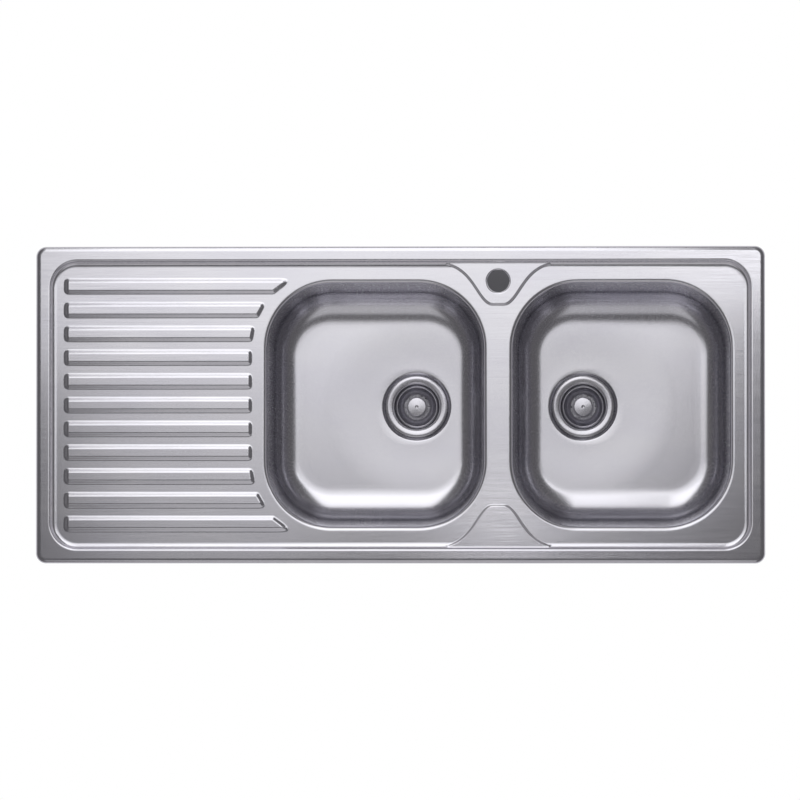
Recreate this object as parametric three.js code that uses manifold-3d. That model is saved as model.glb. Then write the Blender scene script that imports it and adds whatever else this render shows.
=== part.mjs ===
// A double bowl kitchen sink with a drainer, for letting into a worktop.
//
// Millimetres, +Z up. +X points from the drainer to the bowls and +Y to the back, where the tap stands.
// The origin is the middle of the sink, on the worktop's upper surface.

import * as THREE from "three";
import { mergeVertices } from "three/addons/utils/BufferGeometryUtils.js";
import Module from "manifold-3d";

const wasm = await Module();
wasm.setup();

// ---------- Driving dimensions ----------

// Sheet steel and the sink's outline
const SINK_LENGTH = 1150;
const SINK_WIDTH = 500;
const SINK_CORNER = 16;
const SHEET = 0.8;

// The rim that laps over the worktop, and the step down from it to the deck
const RIM_HEIGHT = 6;
const EDGE_ROLL_WIDTH = 8;
const EDGE_ROLL_HEIGHT = 5;
const RIM_WIDTH = 19.5;
const RIM_STEP = 7;
const STEP_SLOPE = THREE.MathUtils.degToRad(55);
const STEP_CREST_RADIUS = 5;
const DECK_CORNER = 32;

// The bowls, measured at their mouths in the deck
const MOUTH_LENGTH = 356;
const MOUTH_CORNER = 110;
const MOUTH_ROLL = 8;
const DIVIDER = 32.5;
const RIGHT_MARGIN = 47.8;
const FRONT_STRIP = 18;
const BOWL_DEPTH = 155;
const SEAM_LAND = 1;
const WALL_LEAN = { x: 5.5, y: 9 };
const FILLET_HEIGHT = 45;
const FILLET_WIDTH = { x: 38.5, y: 52 };
const FLOOR_FALL = 2.5;

// The pressed recess in each floor, which the waste's flange sinks into
const DRAIN_OFFSET = 61;
const RECESS_DEPTH = 4;
const RECESS_SLOPE_WIDTH = 7;
const RECESS_SHOULDER = { inset: 2.1, drop: 1 };

// The drainer's raised ribs, with flanks that are steep at the foot and ease off at the shoulder
const RIB_PITCH = 37.5;
const RIB_WIDTH = 26.6;
const RIB_HEIGHT = 3.2;
const RIB_FLANK = 7;
const RIB_SHOULDER = { inset: 3.85, rise: 2.4 };
const RIB_CORNER = 9;
const RIB_END_MARGIN = 43.4;
const RIB_BOWL_GAP = 15;

// The raised ledges between the bowls, at the back for the tap and at the front to match
const LEDGE_HEIGHT = 2.5;
const LEDGE_DEPTH = 61;
const LEDGE_HALF_WIDTH = 84;
const LEDGE_NOSE_HALF_WIDTH = 8;
const LEDGE_NOSE_PULL = 33.6; // how far out the flare's curve is drawn at the nose, and at the rim
const LEDGE_RIM_PULL = { x: 38.64, y: 7.32 };
const LEDGE_FLANK = 4;
const TAP_COLLAR_TURN = 0.5; // how far the tap hole's collar runs on below its roll
const TAP_FROM_BACK = 55;
const TAP_HOLE_RADIUS = 17.5;
const TAP_ROLL = 3;

// The foam strip under the rim
const SEAL_INSET = 3;
const SEAL_WIDTH = 8;
const SEAL_CHAMFER = 1.75;

// The damping pads under the floors
const PAD_THICKNESS = 2.5;
const PAD_EDGE_GAP = 12;
const PAD_SIDE_GAP = 36;

// The basket strainer waste: a flange and cup of pressed steel, drawn down onto a moulded body by one screw
const FLANGE_LIP = 1.2;
const FLANGE_HEIGHT = 2.4;
const FLANGE_WIDTH = 12;
const FLANGE_BEVEL = 1.2;
const THROAT_RADIUS = 36;
const THROAT_TAPER = 0.5;
const THROAT_ROUND = { width: 2.5, rise: 0.84, drop: 2 };
const THROAT_DEPTH = 14;
const SEAT_DROP = 5;
const SEAT_WIDTH = 6;
const CUP_DEPTH = 34;
const CUP_TAPER = 1.5;
const CUP_WALL = 1.2;
const CUP_DRAIN_HOLES = 6;
const CUP_DRAIN_HOLE_RADIUS = 5;
const WASTE_HOLE_ROOM = 1.3;
const FLANGE_GASKET = 1.5;
const GASKET_INSET = 0.6;
const BODY_GASKET = 2.5;
const BODY_WALL = 3.2;
const BODY_RIM = 3.5;
const BODY_RIM_LAP = 2;
const BODY_BORE_STEP = 0.2;
const FUNNEL_CLEARANCE = 2;
const FUNNEL_WALL_DROP = 1.5;
const OUTLET_RADIUS = 23.9;
const OUTLET_BORE_RADIUS = 20;
const OUTLET_LENGTH = 24;
const CLAMP_SCREW_RADIUS = 3;
const CLAMP_SCREW_HEAD_RADIUS = 6;
const CLAMP_SCREW_HEAD_HEIGHT = 2.6;
const CLAMP_SCREW_CROWN = { width: 1, drop: 1.6 };
const CLAMP_SCREW_END = 3; // how far the screw runs on past the boss
const CLAMP_NUT_RADIUS = 5.8;
const CLAMP_NUT_HEIGHT = 5;
const BOSS_WALL = 2;
const BOSS_LENGTH = 13;
const ARM_DEPTH = 7.8;

// The lift-out basket
const BASKET_SHEET = 0.8;
const BASKET_ROOM = 1;
const BASKET_RIM_DROP = 8;
const BASKET_LIP = 3.3;
const BASKET_LIP_THICKNESS = 1;
const BASKET_LIP_ROUND = 0.4;
const BASKET_WALL_DEPTH = 13;
const BASKET_TAPER = 4.3;
const BASKET_DISH = 5.5;
const BASKET_FLAT_RADIUS = 11;
const BASKET_HOLE_RADIUS = 1.8;
const BASKET_HOLE_RINGS = [
  { inset: 8, count: 8 },
  { inset: 15, count: 4 },
];
const SEAL_LIP = { drop: 1.4, room: 1 };
const SEAL_SHOULDER = { drop: 0.2, room: 0.7 };
const SEAL_FOOT_RISE = 1.8;
const KNOB_RADIUS = 15;
const KNOB_RISE = 1;
const KNOB_HEIGHT = 9;
const KNOB_CROWN = 0.4;
const KNOB_EDGE = { width: 1.2, drop: 1.6 };
const KNOB_LIP = { inset: 0.8, drop: 3 };
const KNOB_UNDERCUT = { radius: 9, drop: 5 };
const KNOB_NECK = { radius: 6.5, rise: 1.5 };
const KNOB_FOOT_RADIUS = 7;
const POST_RADIUS = 2.8;
const POST_FOOT = { width: 2.2, height: 1.2 };

// The clips that draw the sink down onto the worktop
const CLIP_FROM_DRAINER_END = 125;
const CLIP_FROM_BOWL_END = 65;
const CLIP_FROM_LEDGE = 21;
const CLIP_FROM_LEFT_BOWL = 75;
const HANGER_LENGTH = 24;
const HANGER_MARGIN = 2;
const HANGER_DROP = 18;
const HANGER_STEEL = 1.5;
const CLAW_WIDTH = 14;
const CLAW_STEEL = 2;
const CLAW_DROP = 43;
const CLAW_HEEL_RISE = 12;
const CLAW_HEEL_ROOM = 0.5;
const CLAW_FLAT = 2; // how far the claw runs level past the bracket before it climbs
const CLAW_CLIMB = 1.5;
const CLAW_TIP_INSET = 2.5;
const CLAW_TOOTH_RISE = 5;
const CLAW_TOOTH_SPREAD = 1;
const CLAW_NOTCH = { radius: 3, rise: 0.6 };
const CLIP_SCREW_RADIUS = 3;
const CLIP_SCREW_HEAD_RADIUS = 5.8;
const CLIP_SCREW_HEAD_HEIGHT = 4;
const CLIP_SCREW_END = 3; // how far the screw runs on through its bracket

// Room between pieces that touch or pass through each other, and the fineness of curves
const FIT = 0.3;
const CORNER_STEPS = 4;
const BOWL_CORNER_STEPS = 6;
const BOWL_SIDE_STEPS = 1;
const CURVE_STEPS = 3;
const ROUND_STEPS = 16;
const SMALL_ROUND_STEPS = 8;
const HEXAGON = 6;
const FLARE_STEPS = 6;
const BURIED = 3; // how far a raised form reaches down into what it is joined to
const PAST = 1; // how far a cutter runs on past the faces that it cuts

// ---------- Values worked out from them ----------

const DECK_Z = RIM_HEIGHT - RIM_STEP;
const SEAM_Z = DECK_Z - MOUTH_ROLL - SEAM_LAND;
const FLOOR_Z = DECK_Z - BOWL_DEPTH;
const STEP_FOOT_RADIUS = RIM_STEP / (1 - Math.cos(STEP_SLOPE)) - STEP_CREST_RADIUS;
const STEP_WIDTH = (STEP_FOOT_RADIUS + STEP_CREST_RADIUS) * Math.sin(STEP_SLOPE);
const DECK_INSET = RIM_WIDTH + STEP_WIDTH;
const MOUTH_WIDTH = SINK_WIDTH - 2 * (DECK_INSET + FRONT_STRIP);
const FLANGE_RADIUS = THROAT_RADIUS + FLANGE_WIDTH;
const RECESS_FLAT_RADIUS = FLANGE_RADIUS + 1;
const RECESS_RADIUS = RECESS_FLAT_RADIUS + RECESS_SLOPE_WIDTH;
const RECESS_TOP_Z = FLOOR_Z - FLOOR_FALL;
const RECESS_Z = RECESS_TOP_Z - RECESS_DEPTH;
const WASTE_HOLE_RADIUS = THROAT_RADIUS + CUP_WALL + WASTE_HOLE_ROOM;

// Heights in a waste are from the seat of its flange, which lies on a gasket in the recess.
const FLANGE_Z = RECESS_Z + FLANGE_GASKET;
const SHEET_UNDER = -FLANGE_GASKET - SHEET;
const BODY_TOP = SHEET_UNDER - BODY_GASKET;
const SEAT_FOOT = -THROAT_DEPTH - SEAT_DROP;
const CUP_UNDER = -CUP_DEPTH - CUP_WALL;
const BODY_BORE_RADIUS = WASTE_HOLE_RADIUS - BODY_BORE_STEP;
const FUNNEL_TOP = CUP_UNDER - FUNNEL_CLEARANCE;
const SPOUT_TOP = FUNNEL_TOP - BOSS_LENGTH;
const OUTLET_Z = SPOUT_TOP - OUTLET_LENGTH;
const BOSS_RADIUS = CLAMP_NUT_RADIUS + FIT + BOSS_WALL;
const NUT_TOP = CUP_UNDER - BOSS_LENGTH + CLAMP_NUT_HEIGHT;

// The inner radius at a height on the taper of the throat, and on the cone that the basket seats on.
const throatRadius = (z) => THROAT_RADIUS + (THROAT_TAPER * z) / THROAT_DEPTH;
const seatRadius = (z) => throatRadius(-THROAT_DEPTH) - ((-THROAT_DEPTH - z) / SEAT_DROP) * SEAT_WIDTH;
const CUP_RADIUS = seatRadius(SEAT_FOOT);

const BASKET_TOP = -BASKET_RIM_DROP;
const BASKET_RADIUS = throatRadius(BASKET_TOP) - BASKET_ROOM;
const BASKET_WALL_RADIUS = BASKET_RADIUS - BASKET_LIP;
const BASKET_FOOT = BASKET_TOP - BASKET_WALL_DEPTH;
const BASKET_FOOT_RADIUS = BASKET_WALL_RADIUS - BASKET_TAPER;
const BASKET_FLOOR = BASKET_FOOT - BASKET_DISH;
const KNOB_FOOT = KNOB_RISE - KNOB_HEIGHT;

const HANGER_TOP = DECK_Z - SHEET;
const HANGER_REACH = FRONT_STRIP / 2 - HANGER_MARGIN;
const LEG_Z = HANGER_TOP - HANGER_DROP + HANGER_STEEL / 2;
const CLAW_Z = HANGER_TOP - CLAW_DROP;
const CLIP_Y = SINK_WIDTH / 2 - DECK_INSET - HANGER_REACH - HANGER_STEEL;
const CLAW_REACH = SINK_WIDTH / 2 - CLIP_Y - CLAW_TIP_INSET;

const rightBowl = { side: "right", x: SINK_LENGTH / 2 - RIGHT_MARGIN - MOUTH_LENGTH / 2 };
const leftBowl = { side: "left", x: rightBowl.x - MOUTH_LENGTH - DIVIDER };
const TAP_AXIS_X = (leftBowl.x + rightBowl.x) / 2;
leftBowl.drainX = leftBowl.x + DRAIN_OFFSET;
rightBowl.drainX = rightBowl.x - DRAIN_OFFSET;
const bowls = [leftBowl, rightBowl];

// ---------- Finishes ----------

const finish = (color, roughness, metalness) =>
  new THREE.MeshStandardMaterial({ color, roughness, metalness });
const stainless = finish(0xb9bbc0, 0.32, 1);
const zincPlate = finish(0xc3c7cc, 0.45, 1);
const brass = finish(0xb5954e, 0.4, 1);
const rubber = finish(0x27282a, 0.8, 0);
const foam = finish(0x3b3c3f, 0.95, 0);
const bitumen = finish(0x4a4947, 0.9, 0);
const whitePlastic = finish(0xe6e6e2, 0.5, 0);

// ---------- Solids ----------

// A closed geometry as a solid that can be joined and cut.
function solidOf(geometry) {
  const bare = geometry.clone();
  bare.deleteAttribute("normal");
  bare.deleteAttribute("uv");
  const merged = mergeVertices(bare, 1e-4);
  const corners = [];
  for (let i = 0; i < merged.index.count; i += 3) {
    const [a, b, c] = merged.index.array.slice(i, i + 3);
    if (a !== b && b !== c && a !== c) corners.push(a, b, c);
  }
  return new wasm.Manifold(
    new wasm.Mesh({
      numProp: 3,
      vertProperties: merged.attributes.position.array,
      triVerts: new Uint32Array(corners),
    }),
  );
}

function geometryOf(solid) {
  const mesh = solid.getMesh();
  const geometry = new THREE.BufferGeometry();
  geometry.setAttribute("position", new THREE.BufferAttribute(mesh.vertProperties, 3));
  geometry.setIndex(new THREE.BufferAttribute(mesh.triVerts, 1));
  return geometry;
}

function piece(name, solid, material) {
  const geometry = geometryOf(solid);
  geometry.computeVertexNormals();
  const mesh = new THREE.Mesh(geometry, material);
  mesh.name = name;
  return mesh;
}

// The skin through rings of points, which run anticlockwise seen from above.
// The rings rise from the first to the last and are capped, or they run round a hollow and close.
function loft(rings, closed = false) {
  const count = rings[0].length;
  const faces = [];
  const bands = closed ? rings.length : rings.length - 1;
  for (let band = 0; band < bands; band += 1) {
    const low = band * count;
    const high = ((band + 1) % rings.length) * count;
    for (let i = 0; i < count; i += 1) {
      const next = (i + 1) % count;
      faces.push(low + i, low + next, high + next, low + i, high + next, high + i);
    }
  }
  if (!closed) {
    const flat = (ring) => ring.map(([x, y]) => new THREE.Vector2(x, y));
    const top = (rings.length - 1) * count;
    for (const [a, b, c] of THREE.ShapeUtils.triangulateShape(flat(rings[0]), [])) faces.push(a, c, b);
    for (const [a, b, c] of THREE.ShapeUtils.triangulateShape(flat(rings.at(-1)), []))
      faces.push(top + a, top + b, top + c);
  }
  const geometry = new THREE.BufferGeometry();
  geometry.setAttribute("position", new THREE.Float32BufferAttribute(rings.flat(2), 3));
  geometry.setIndex(faces);
  return solidOf(geometry);
}

// A closed [radius, height] outline, given either way round, turned about a vertical axis.
function turned(outline, steps = ROUND_STEPS) {
  const profile = [...outline, outline[0]].map(([radius, z]) => new THREE.Vector2(radius, z));
  if (THREE.ShapeUtils.isClockWise(profile)) profile.reverse();
  return solidOf(new THREE.LatheGeometry(profile, steps).rotateX(Math.PI / 2));
}

const disc = (radius, low, high, steps) =>
  turned([[0, low], [0, high], [radius, high], [radius, low]], steps);

const washer = (inner, outer, low, high) =>
  turned([[inner, low], [inner, high], [outer, high], [outer, low]]);

// Copies of a solid spaced round the axis.
function ringOf(solid, radius, count, turn = 0) {
  const copies = Array.from({ length: count }, (_, i) => {
    const angle = turn + (2 * Math.PI * i) / count;
    return solid.translate([radius * Math.cos(angle), radius * Math.sin(angle), 0]);
  });
  return wasm.Manifold.union(copies);
}

// ---------- Outlines ----------

// A rounded rectangle about a point on the X axis, anticlockwise from the upper end of its right side.
function roundedRectangle(length, width, radius, { x = 0, cornerSteps = CORNER_STEPS, sideSteps = 1 } = {}) {
  const middle = [length / 2 - radius, width / 2 - radius];
  const signs = [[1, 1], [-1, 1], [-1, -1], [1, -1]];
  const corner = (k, step) => {
    const angle = (Math.PI / 2) * (k + step / cornerSteps);
    const [sx, sy] = signs[k % 4];
    return [x + sx * middle[0] + radius * Math.cos(angle), sy * middle[1] + radius * Math.sin(angle)];
  };
  const ring = [];
  for (let k = 0; k < 4; k += 1) {
    for (let step = 0; step <= cornerSteps; step += 1) ring.push(corner(k, step));
    const [from, to] = [corner(k, cornerSteps), corner((k + 1) % 4, 0)];
    for (let step = 1; step < sideSteps; step += 1)
      ring.push([0, 1].map((axis) => from[axis] + ((to[axis] - from[axis]) * step) / sideSteps));
  }
  return ring;
}

// A ring moved inwards by a distance, each corner along its bisector.
function insetRing(ring, distance) {
  return ring.map((point, i) => {
    const before = ring.at(i - 1);
    const after = ring[(i + 1) % ring.length];
    const normal = (a, b) => new THREE.Vector2(a[1] - b[1], b[0] - a[0]).normalize();
    const [first, second] = [normal(before, point), normal(point, after)];
    const bisector = first.clone().add(second);
    bisector.multiplyScalar(distance / bisector.dot(first));
    return [point[0] + bisector.x, point[1] + bisector.y];
  });
}

// A convex polygon with each corner rounded off.
function roundedPolygon(corners, radius, steps) {
  return corners.flatMap((corner, i) => {
    const here = new THREE.Vector2(...corner);
    const back = new THREE.Vector2(...corners.at(i - 1)).sub(here).normalize();
    const onward = new THREE.Vector2(...corners[(i + 1) % corners.length]).sub(here).normalize();
    const halfAngle = Math.acos(back.dot(onward)) / 2;
    const tangent = radius / Math.tan(halfAngle);
    const arc = new THREE.QuadraticBezierCurve(
      here.clone().addScaledVector(back, tangent),
      here,
      here.clone().addScaledVector(onward, tangent),
    );
    return arc.getPoints(steps).map((point) => point.toArray());
  });
}

const lift = (ring, z) => ring.map(([x, y]) => [x, y, z]);

// Stations are the steps of a pressed curve: how far inside an outline, how high, and how far the
// surface leans from level there. Moved into the metal, they give the sheet's other face.
const moved = (stations, depth) =>
  stations.map(({ inset, z, lean }) => ({
    inset: inset - depth * Math.sin(lean),
    z: z - depth * Math.cos(lean),
  }));

const loftStations = (outline, stations, depth) =>
  loft(moved(stations, depth).map(({ inset, z }) => lift(outline(inset), z)));

// Values from 0 to 1 in equal steps, both ends included.
const fractions = (steps) => Array.from({ length: steps + 1 }, (_, step) => step / steps);

// ---------- The pressed top ----------

const sinkOutline = (inset) =>
  roundedRectangle(SINK_LENGTH - 2 * inset, SINK_WIDTH - 2 * inset, SINK_CORNER - inset);

// The deck's corners are rounder than the sink's own, and grow rounder still towards the rim.
const deckOutline = (inset) =>
  roundedRectangle(SINK_LENGTH - 2 * inset, SINK_WIDTH - 2 * inset, DECK_CORNER + DECK_INSET - inset);

const mouthOutline = (bowl) => (inset) =>
  roundedRectangle(MOUTH_LENGTH - 2 * inset, MOUTH_WIDTH - 2 * inset, MOUTH_CORNER - inset, {
    x: bowl.x,
    cornerSteps: BOWL_CORNER_STEPS,
    sideSteps: BOWL_SIDE_STEPS,
  });

// The rim's outer edge, rolled down to the worktop.
function edgeStations(bottom) {
  const roll = fractions(CURVE_STEPS).map((share) => {
    const angle = (share * Math.PI) / 2;
    return {
      inset: EDGE_ROLL_WIDTH * (1 - Math.cos(angle)),
      z: RIM_HEIGHT - EDGE_ROLL_HEIGHT * (1 - Math.sin(angle)),
      lean: angle - Math.PI / 2,
    };
  });
  return [{ inset: 0, z: bottom, lean: -Math.PI / 2 }, ...roll];
}

// The hollow over the deck: a foot curve, a crest curve, and open above the rim.
function stepStations() {
  const foot = fractions(CURVE_STEPS).map((share) => {
    const lean = share * STEP_SLOPE;
    return {
      inset: DECK_INSET - STEP_FOOT_RADIUS * Math.sin(lean),
      z: DECK_Z + STEP_FOOT_RADIUS * (1 - Math.cos(lean)),
      lean,
    };
  });
  const crest = fractions(2).slice(1).map((share) => {
    const lean = (1 - share) * STEP_SLOPE;
    return {
      inset: RIM_WIDTH + STEP_CREST_RADIUS * Math.sin(lean),
      z: RIM_HEIGHT - STEP_CREST_RADIUS * (1 - Math.cos(lean)),
      lean,
    };
  });
  return [...foot, ...crest, { inset: RIM_WIDTH, z: RIM_HEIGHT + BURIED, lean: 0 }];
}

// A mouth: straight at the seam, then rolled over onto the deck.
function mouthStations(radius, top, bottom) {
  const roll = fractions(CURVE_STEPS).map((share) => {
    const lean = ((1 - share) * Math.PI) / 2;
    return { inset: radius * Math.sin(lean), z: top - radius * (1 - Math.cos(lean)), lean };
  });
  const open = { inset: 0, z: RIM_HEIGHT + BURIED, lean: 0 };
  return [{ inset: radius, z: bottom, lean: Math.PI / 2 }, ...roll, open];
}

// Where the ribs stop short of the left bowl, at a distance from the drainer's middle line.
function ribEndX(y) {
  const length = MOUTH_LENGTH + 2 * RIB_BOWL_GAP;
  const width = MOUTH_WIDTH + 2 * RIB_BOWL_GAP;
  const radius = MOUTH_CORNER + RIB_BOWL_GAP;
  const beyond = Math.max(0, Math.abs(y) - (width / 2 - radius));
  return leftBowl.x - (length / 2 - radius) - Math.sqrt(Math.max(0, radius ** 2 - beyond ** 2));
}

function ribs(depth) {
  const start = -SINK_LENGTH / 2 + RIB_END_MARGIN;
  const span = SINK_WIDTH - 2 * DECK_INSET;
  const count = Math.floor(span / RIB_PITCH);
  const stations = [
    { inset: 0, z: DECK_Z - BURIED, lean: 0 },
    { inset: 0, z: DECK_Z, lean: 0 },
    { inset: RIB_SHOULDER.inset, z: DECK_Z + RIB_SHOULDER.rise, lean: 0 },
    { inset: RIB_FLANK, z: DECK_Z + RIB_HEIGHT, lean: 0 },
  ];
  return Array.from({ length: count }, (_, i) => {
    const y = (i - (count - 1) / 2) * RIB_PITCH;
    const [front, back] = [y - RIB_WIDTH / 2, y + RIB_WIDTH / 2];
    const corners = [[start, front], [ribEndX(front), front], [ribEndX(back), back], [start, back]];
    const base = roundedPolygon(corners, RIB_CORNER, 2);
    return loftStations((inset) => insetRing(base, inset), stations, depth);
  });
}

// A ledge's outline: a narrow nose between the bowls, flaring to meet the rim. +1 is the back.
function ledgeOutline(end) {
  const nose = SINK_WIDTH / 2 - DECK_INSET - LEDGE_DEPTH;
  const foot = SINK_WIDTH / 2 - DECK_INSET + BURIED;
  const buried = SINK_WIDTH / 2 - RIM_WIDTH / 2;
  const flare = new THREE.CubicBezierCurve(
    new THREE.Vector2(LEDGE_NOSE_HALF_WIDTH, nose),
    new THREE.Vector2(LEDGE_NOSE_PULL, nose),
    new THREE.Vector2(LEDGE_RIM_PULL.x, foot - LEDGE_RIM_PULL.y),
    new THREE.Vector2(LEDGE_HALF_WIDTH, foot),
  );
  const half = flare.getPoints(FLARE_STEPS).map((point) => point.toArray());
  half.push([LEDGE_HALF_WIDTH, buried]);
  const other = half.map(([x, y]) => [-x, y]).reverse();
  const ring = [...half, ...other].map(([x, y]) => [TAP_AXIS_X + x, end * y]);
  return end > 0 ? ring : ring.reverse();
}

function ledge(end, depth) {
  const stations = [
    { inset: 0, z: DECK_Z - BURIED, lean: 0 },
    { inset: 0, z: DECK_Z, lean: 0 },
    { inset: LEDGE_FLANK / 2, z: DECK_Z + LEDGE_HEIGHT / 2, lean: 0 },
    { inset: LEDGE_FLANK, z: DECK_Z + LEDGE_HEIGHT, lean: 0 },
  ];
  return loftStations((inset) => insetRing(ledgeOutline(end), inset), stations, depth);
}

function tapHole(bottom, depth) {
  const top = DECK_Z + LEDGE_HEIGHT;
  const stations = mouthStations(TAP_ROLL, top, top - TAP_ROLL);
  const edge = moved(stations, depth).map(({ inset, z }) => [TAP_HOLE_RADIUS + TAP_ROLL - inset, z]);
  const outline = [[0, bottom], [0, edge.at(-1)[1]], ...edge.reverse(), [edge.at(-1)[0], bottom]];
  return turned(outline).translate([TAP_AXIS_X, SINK_WIDTH / 2 - TAP_FROM_BACK, 0]);
}

// Everything below the deck's upper face, or below its lower face when depth is the sheet.
function deckForm(depth, { bottom, tapCollar, underEdge }) {
  const block = loftStations(sinkOutline, edgeStations(underEdge), depth);
  const under = loft([
    lift(deckOutline(RIM_WIDTH), bottom),
    lift(deckOutline(RIM_WIDTH), RIM_HEIGHT / 2),
  ]);
  const raised = [...ribs(depth), ledge(1, depth), ledge(-1, depth)];
  const mouths = bowls.map((bowl) =>
    loftStations(mouthOutline(bowl), mouthStations(MOUTH_ROLL, DECK_Z, bottom - BURIED), depth),
  );
  const cuts = [...mouths, tapHole(tapCollar, depth)];
  const hollow = loftStations(deckOutline, stepStations(), depth);
  const body = wasm.Manifold.union([block.add(under).subtract(hollow), ...raised]);
  return body.subtract(wasm.Manifold.union(cuts));
}

function sinkTop() {
  const collarBottom = DECK_Z + LEDGE_HEIGHT - TAP_ROLL - TAP_COLLAR_TURN;
  const face = deckForm(0, { bottom: SEAM_Z, underEdge: 0, tapCollar: SEAM_Z - BURIED });
  const underside = deckForm(SHEET, {
    bottom: SEAM_Z - BURIED,
    underEdge: SEAM_Z - BURIED,
    tapCollar: collarBottom,
  });
  return face.subtract(underside);
}

// ---------- The bowls ----------

// The floor's corners keep the mouth's own centres, so they tighten as the walls come in.
function bowlRing(bowl, insetX, insetY, z) {
  const ring = roundedRectangle(
    MOUTH_LENGTH - 2 * insetX,
    MOUTH_WIDTH - 2 * insetY,
    MOUTH_CORNER - (insetX + insetY) / 2,
    { x: bowl.x, cornerSteps: BOWL_CORNER_STEPS, sideSteps: BOWL_SIDE_STEPS },
  );
  return lift(ring, z);
}

// A circle round the drain, with its points in step with the bowl's rings.
function drainRing(bowl, radius, z) {
  const count = 4 * (BOWL_CORNER_STEPS + BOWL_SIDE_STEPS);
  return Array.from({ length: count }, (_, i) => {
    const angle = (2 * Math.PI * (i + BOWL_SIDE_STEPS / 2)) / count;
    return [bowl.drainX + radius * Math.cos(angle), radius * Math.sin(angle), z];
  });
}

// One face of a bowl, from the seam down to the hole in its floor.
function bowlFace(bowl, depth) {
  const wall = [
    { x: 0, y: 0, z: SEAM_Z, lean: Math.PI / 2 },
    ...fractions(CURVE_STEPS + 1).map((share) => {
      const angle = (share * Math.PI) / 2;
      return {
        x: WALL_LEAN.x + FILLET_WIDTH.x * (1 - Math.cos(angle)),
        y: WALL_LEAN.y + FILLET_WIDTH.y * (1 - Math.cos(angle)),
        z: FLOOR_Z + FILLET_HEIGHT * (1 - Math.sin(angle)),
        lean: Math.PI / 2 - angle,
      };
    }),
  ];
  const wallRings = wall.map(({ x, y, z, lean }) => {
    const outward = MOUTH_ROLL - depth * Math.sin(lean);
    return bowlRing(bowl, x + outward, y + outward, z - depth * Math.cos(lean));
  });
  const slope = Math.atan2(RECESS_DEPTH, RECESS_SLOPE_WIDTH);
  const recess = [
    { radius: RECESS_RADIUS, drop: 0, lean: 0 },
    { radius: RECESS_RADIUS - RECESS_SHOULDER.inset, drop: RECESS_SHOULDER.drop, lean: slope },
    { radius: RECESS_FLAT_RADIUS, drop: RECESS_DEPTH, lean: 0 },
    { radius: WASTE_HOLE_RADIUS, drop: RECESS_DEPTH, lean: 0 },
  ];
  const recessRings = recess.map(({ radius, drop, lean }) =>
    drainRing(
      bowl,
      radius + depth * Math.sin(lean),
      RECESS_TOP_Z - drop - depth * Math.cos(lean),
    ),
  );
  return [...wallRings, ...recessRings];
}

const bowlShell = (bowl) => loft([...bowlFace(bowl, 0), ...bowlFace(bowl, SHEET).reverse()], true);

// The space inside a bowl's outer face, as a solid lowered by a distance.
function bowlBlock(bowl, drop) {
  const rings = bowlFace(bowl, SHEET).reverse().map((ring) => ring.map(([x, y, z]) => [x, y, z - drop]));
  return loft(rings);
}

// A damping pad that follows the underside of the floor, on the side away from the drain.
function soundPad(bowl) {
  const floorInset = MOUTH_ROLL + WALL_LEAN.x + FILLET_WIDTH.x;
  const away = Math.sign(bowl.x - bowl.drainX);
  const farEdge = MOUTH_LENGTH / 2 - floorInset - PAD_EDGE_GAP;
  const nearEdge = RECESS_RADIUS + PAD_EDGE_GAP - DRAIN_OFFSET;
  const length = farEdge - nearEdge;
  const width = MOUTH_WIDTH - 2 * (MOUTH_ROLL + WALL_LEAN.y + FILLET_WIDTH.y + PAD_SIDE_GAP);
  const outline = roundedRectangle(length, width, PAD_EDGE_GAP, {
    x: bowl.x + (away * (farEdge + nearEdge)) / 2,
    cornerSteps: 3,
  });
  const column = loft([lift(outline, RECESS_Z - 2 * PAD_THICKNESS), lift(outline, FLOOR_Z + BURIED)]);
  return column.intersect(bowlBlock(bowl, FIT + PAD_THICKNESS)).subtract(bowlBlock(bowl, FIT));
}

// ---------- The foam strip ----------

// The strip is laid with gently rounded corners, inside the sink's own.
const sealOutline = (inset) =>
  roundedRectangle(SINK_LENGTH - 2 * inset, SINK_WIDTH - 2 * inset, SINK_CORNER + FIT - inset);

// It fills the hollow under the rim, and its outer corner is cut away under the edge's roll.
function rimSeal() {
  const top = RIM_HEIGHT - SHEET;
  const section = [
    [SEAL_INSET, 0],
    [SEAL_INSET, top - SEAL_CHAMFER],
    [EDGE_ROLL_WIDTH + FIT, top],
    [SEAL_INSET + SEAL_WIDTH, top],
    [SEAL_INSET + SEAL_WIDTH, 0],
  ];
  return loft(section.map(([inset, z]) => lift(sealOutline(inset), z)), true);
}

// ---------- The wastes ----------

// The flange and throat, down to the foot of the cone that the basket seats on.
function wasteFlange() {
  const coneTop = throatRadius(-THROAT_DEPTH);
  return turned([
    [FLANGE_RADIUS, 0],
    [FLANGE_RADIUS, FLANGE_LIP],
    [FLANGE_RADIUS - FLANGE_BEVEL, FLANGE_HEIGHT],
    [THROAT_RADIUS + THROAT_ROUND.width, THROAT_ROUND.rise],
    [throatRadius(-THROAT_ROUND.drop), -THROAT_ROUND.drop],
    [coneTop, -THROAT_DEPTH],
    [CUP_RADIUS, SEAT_FOOT],
    [CUP_RADIUS + CUP_WALL, SEAT_FOOT],
    [coneTop + CUP_WALL, -THROAT_DEPTH - CUP_WALL / 2],
    [THROAT_RADIUS + CUP_WALL, 0],
  ]);
}

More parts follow.
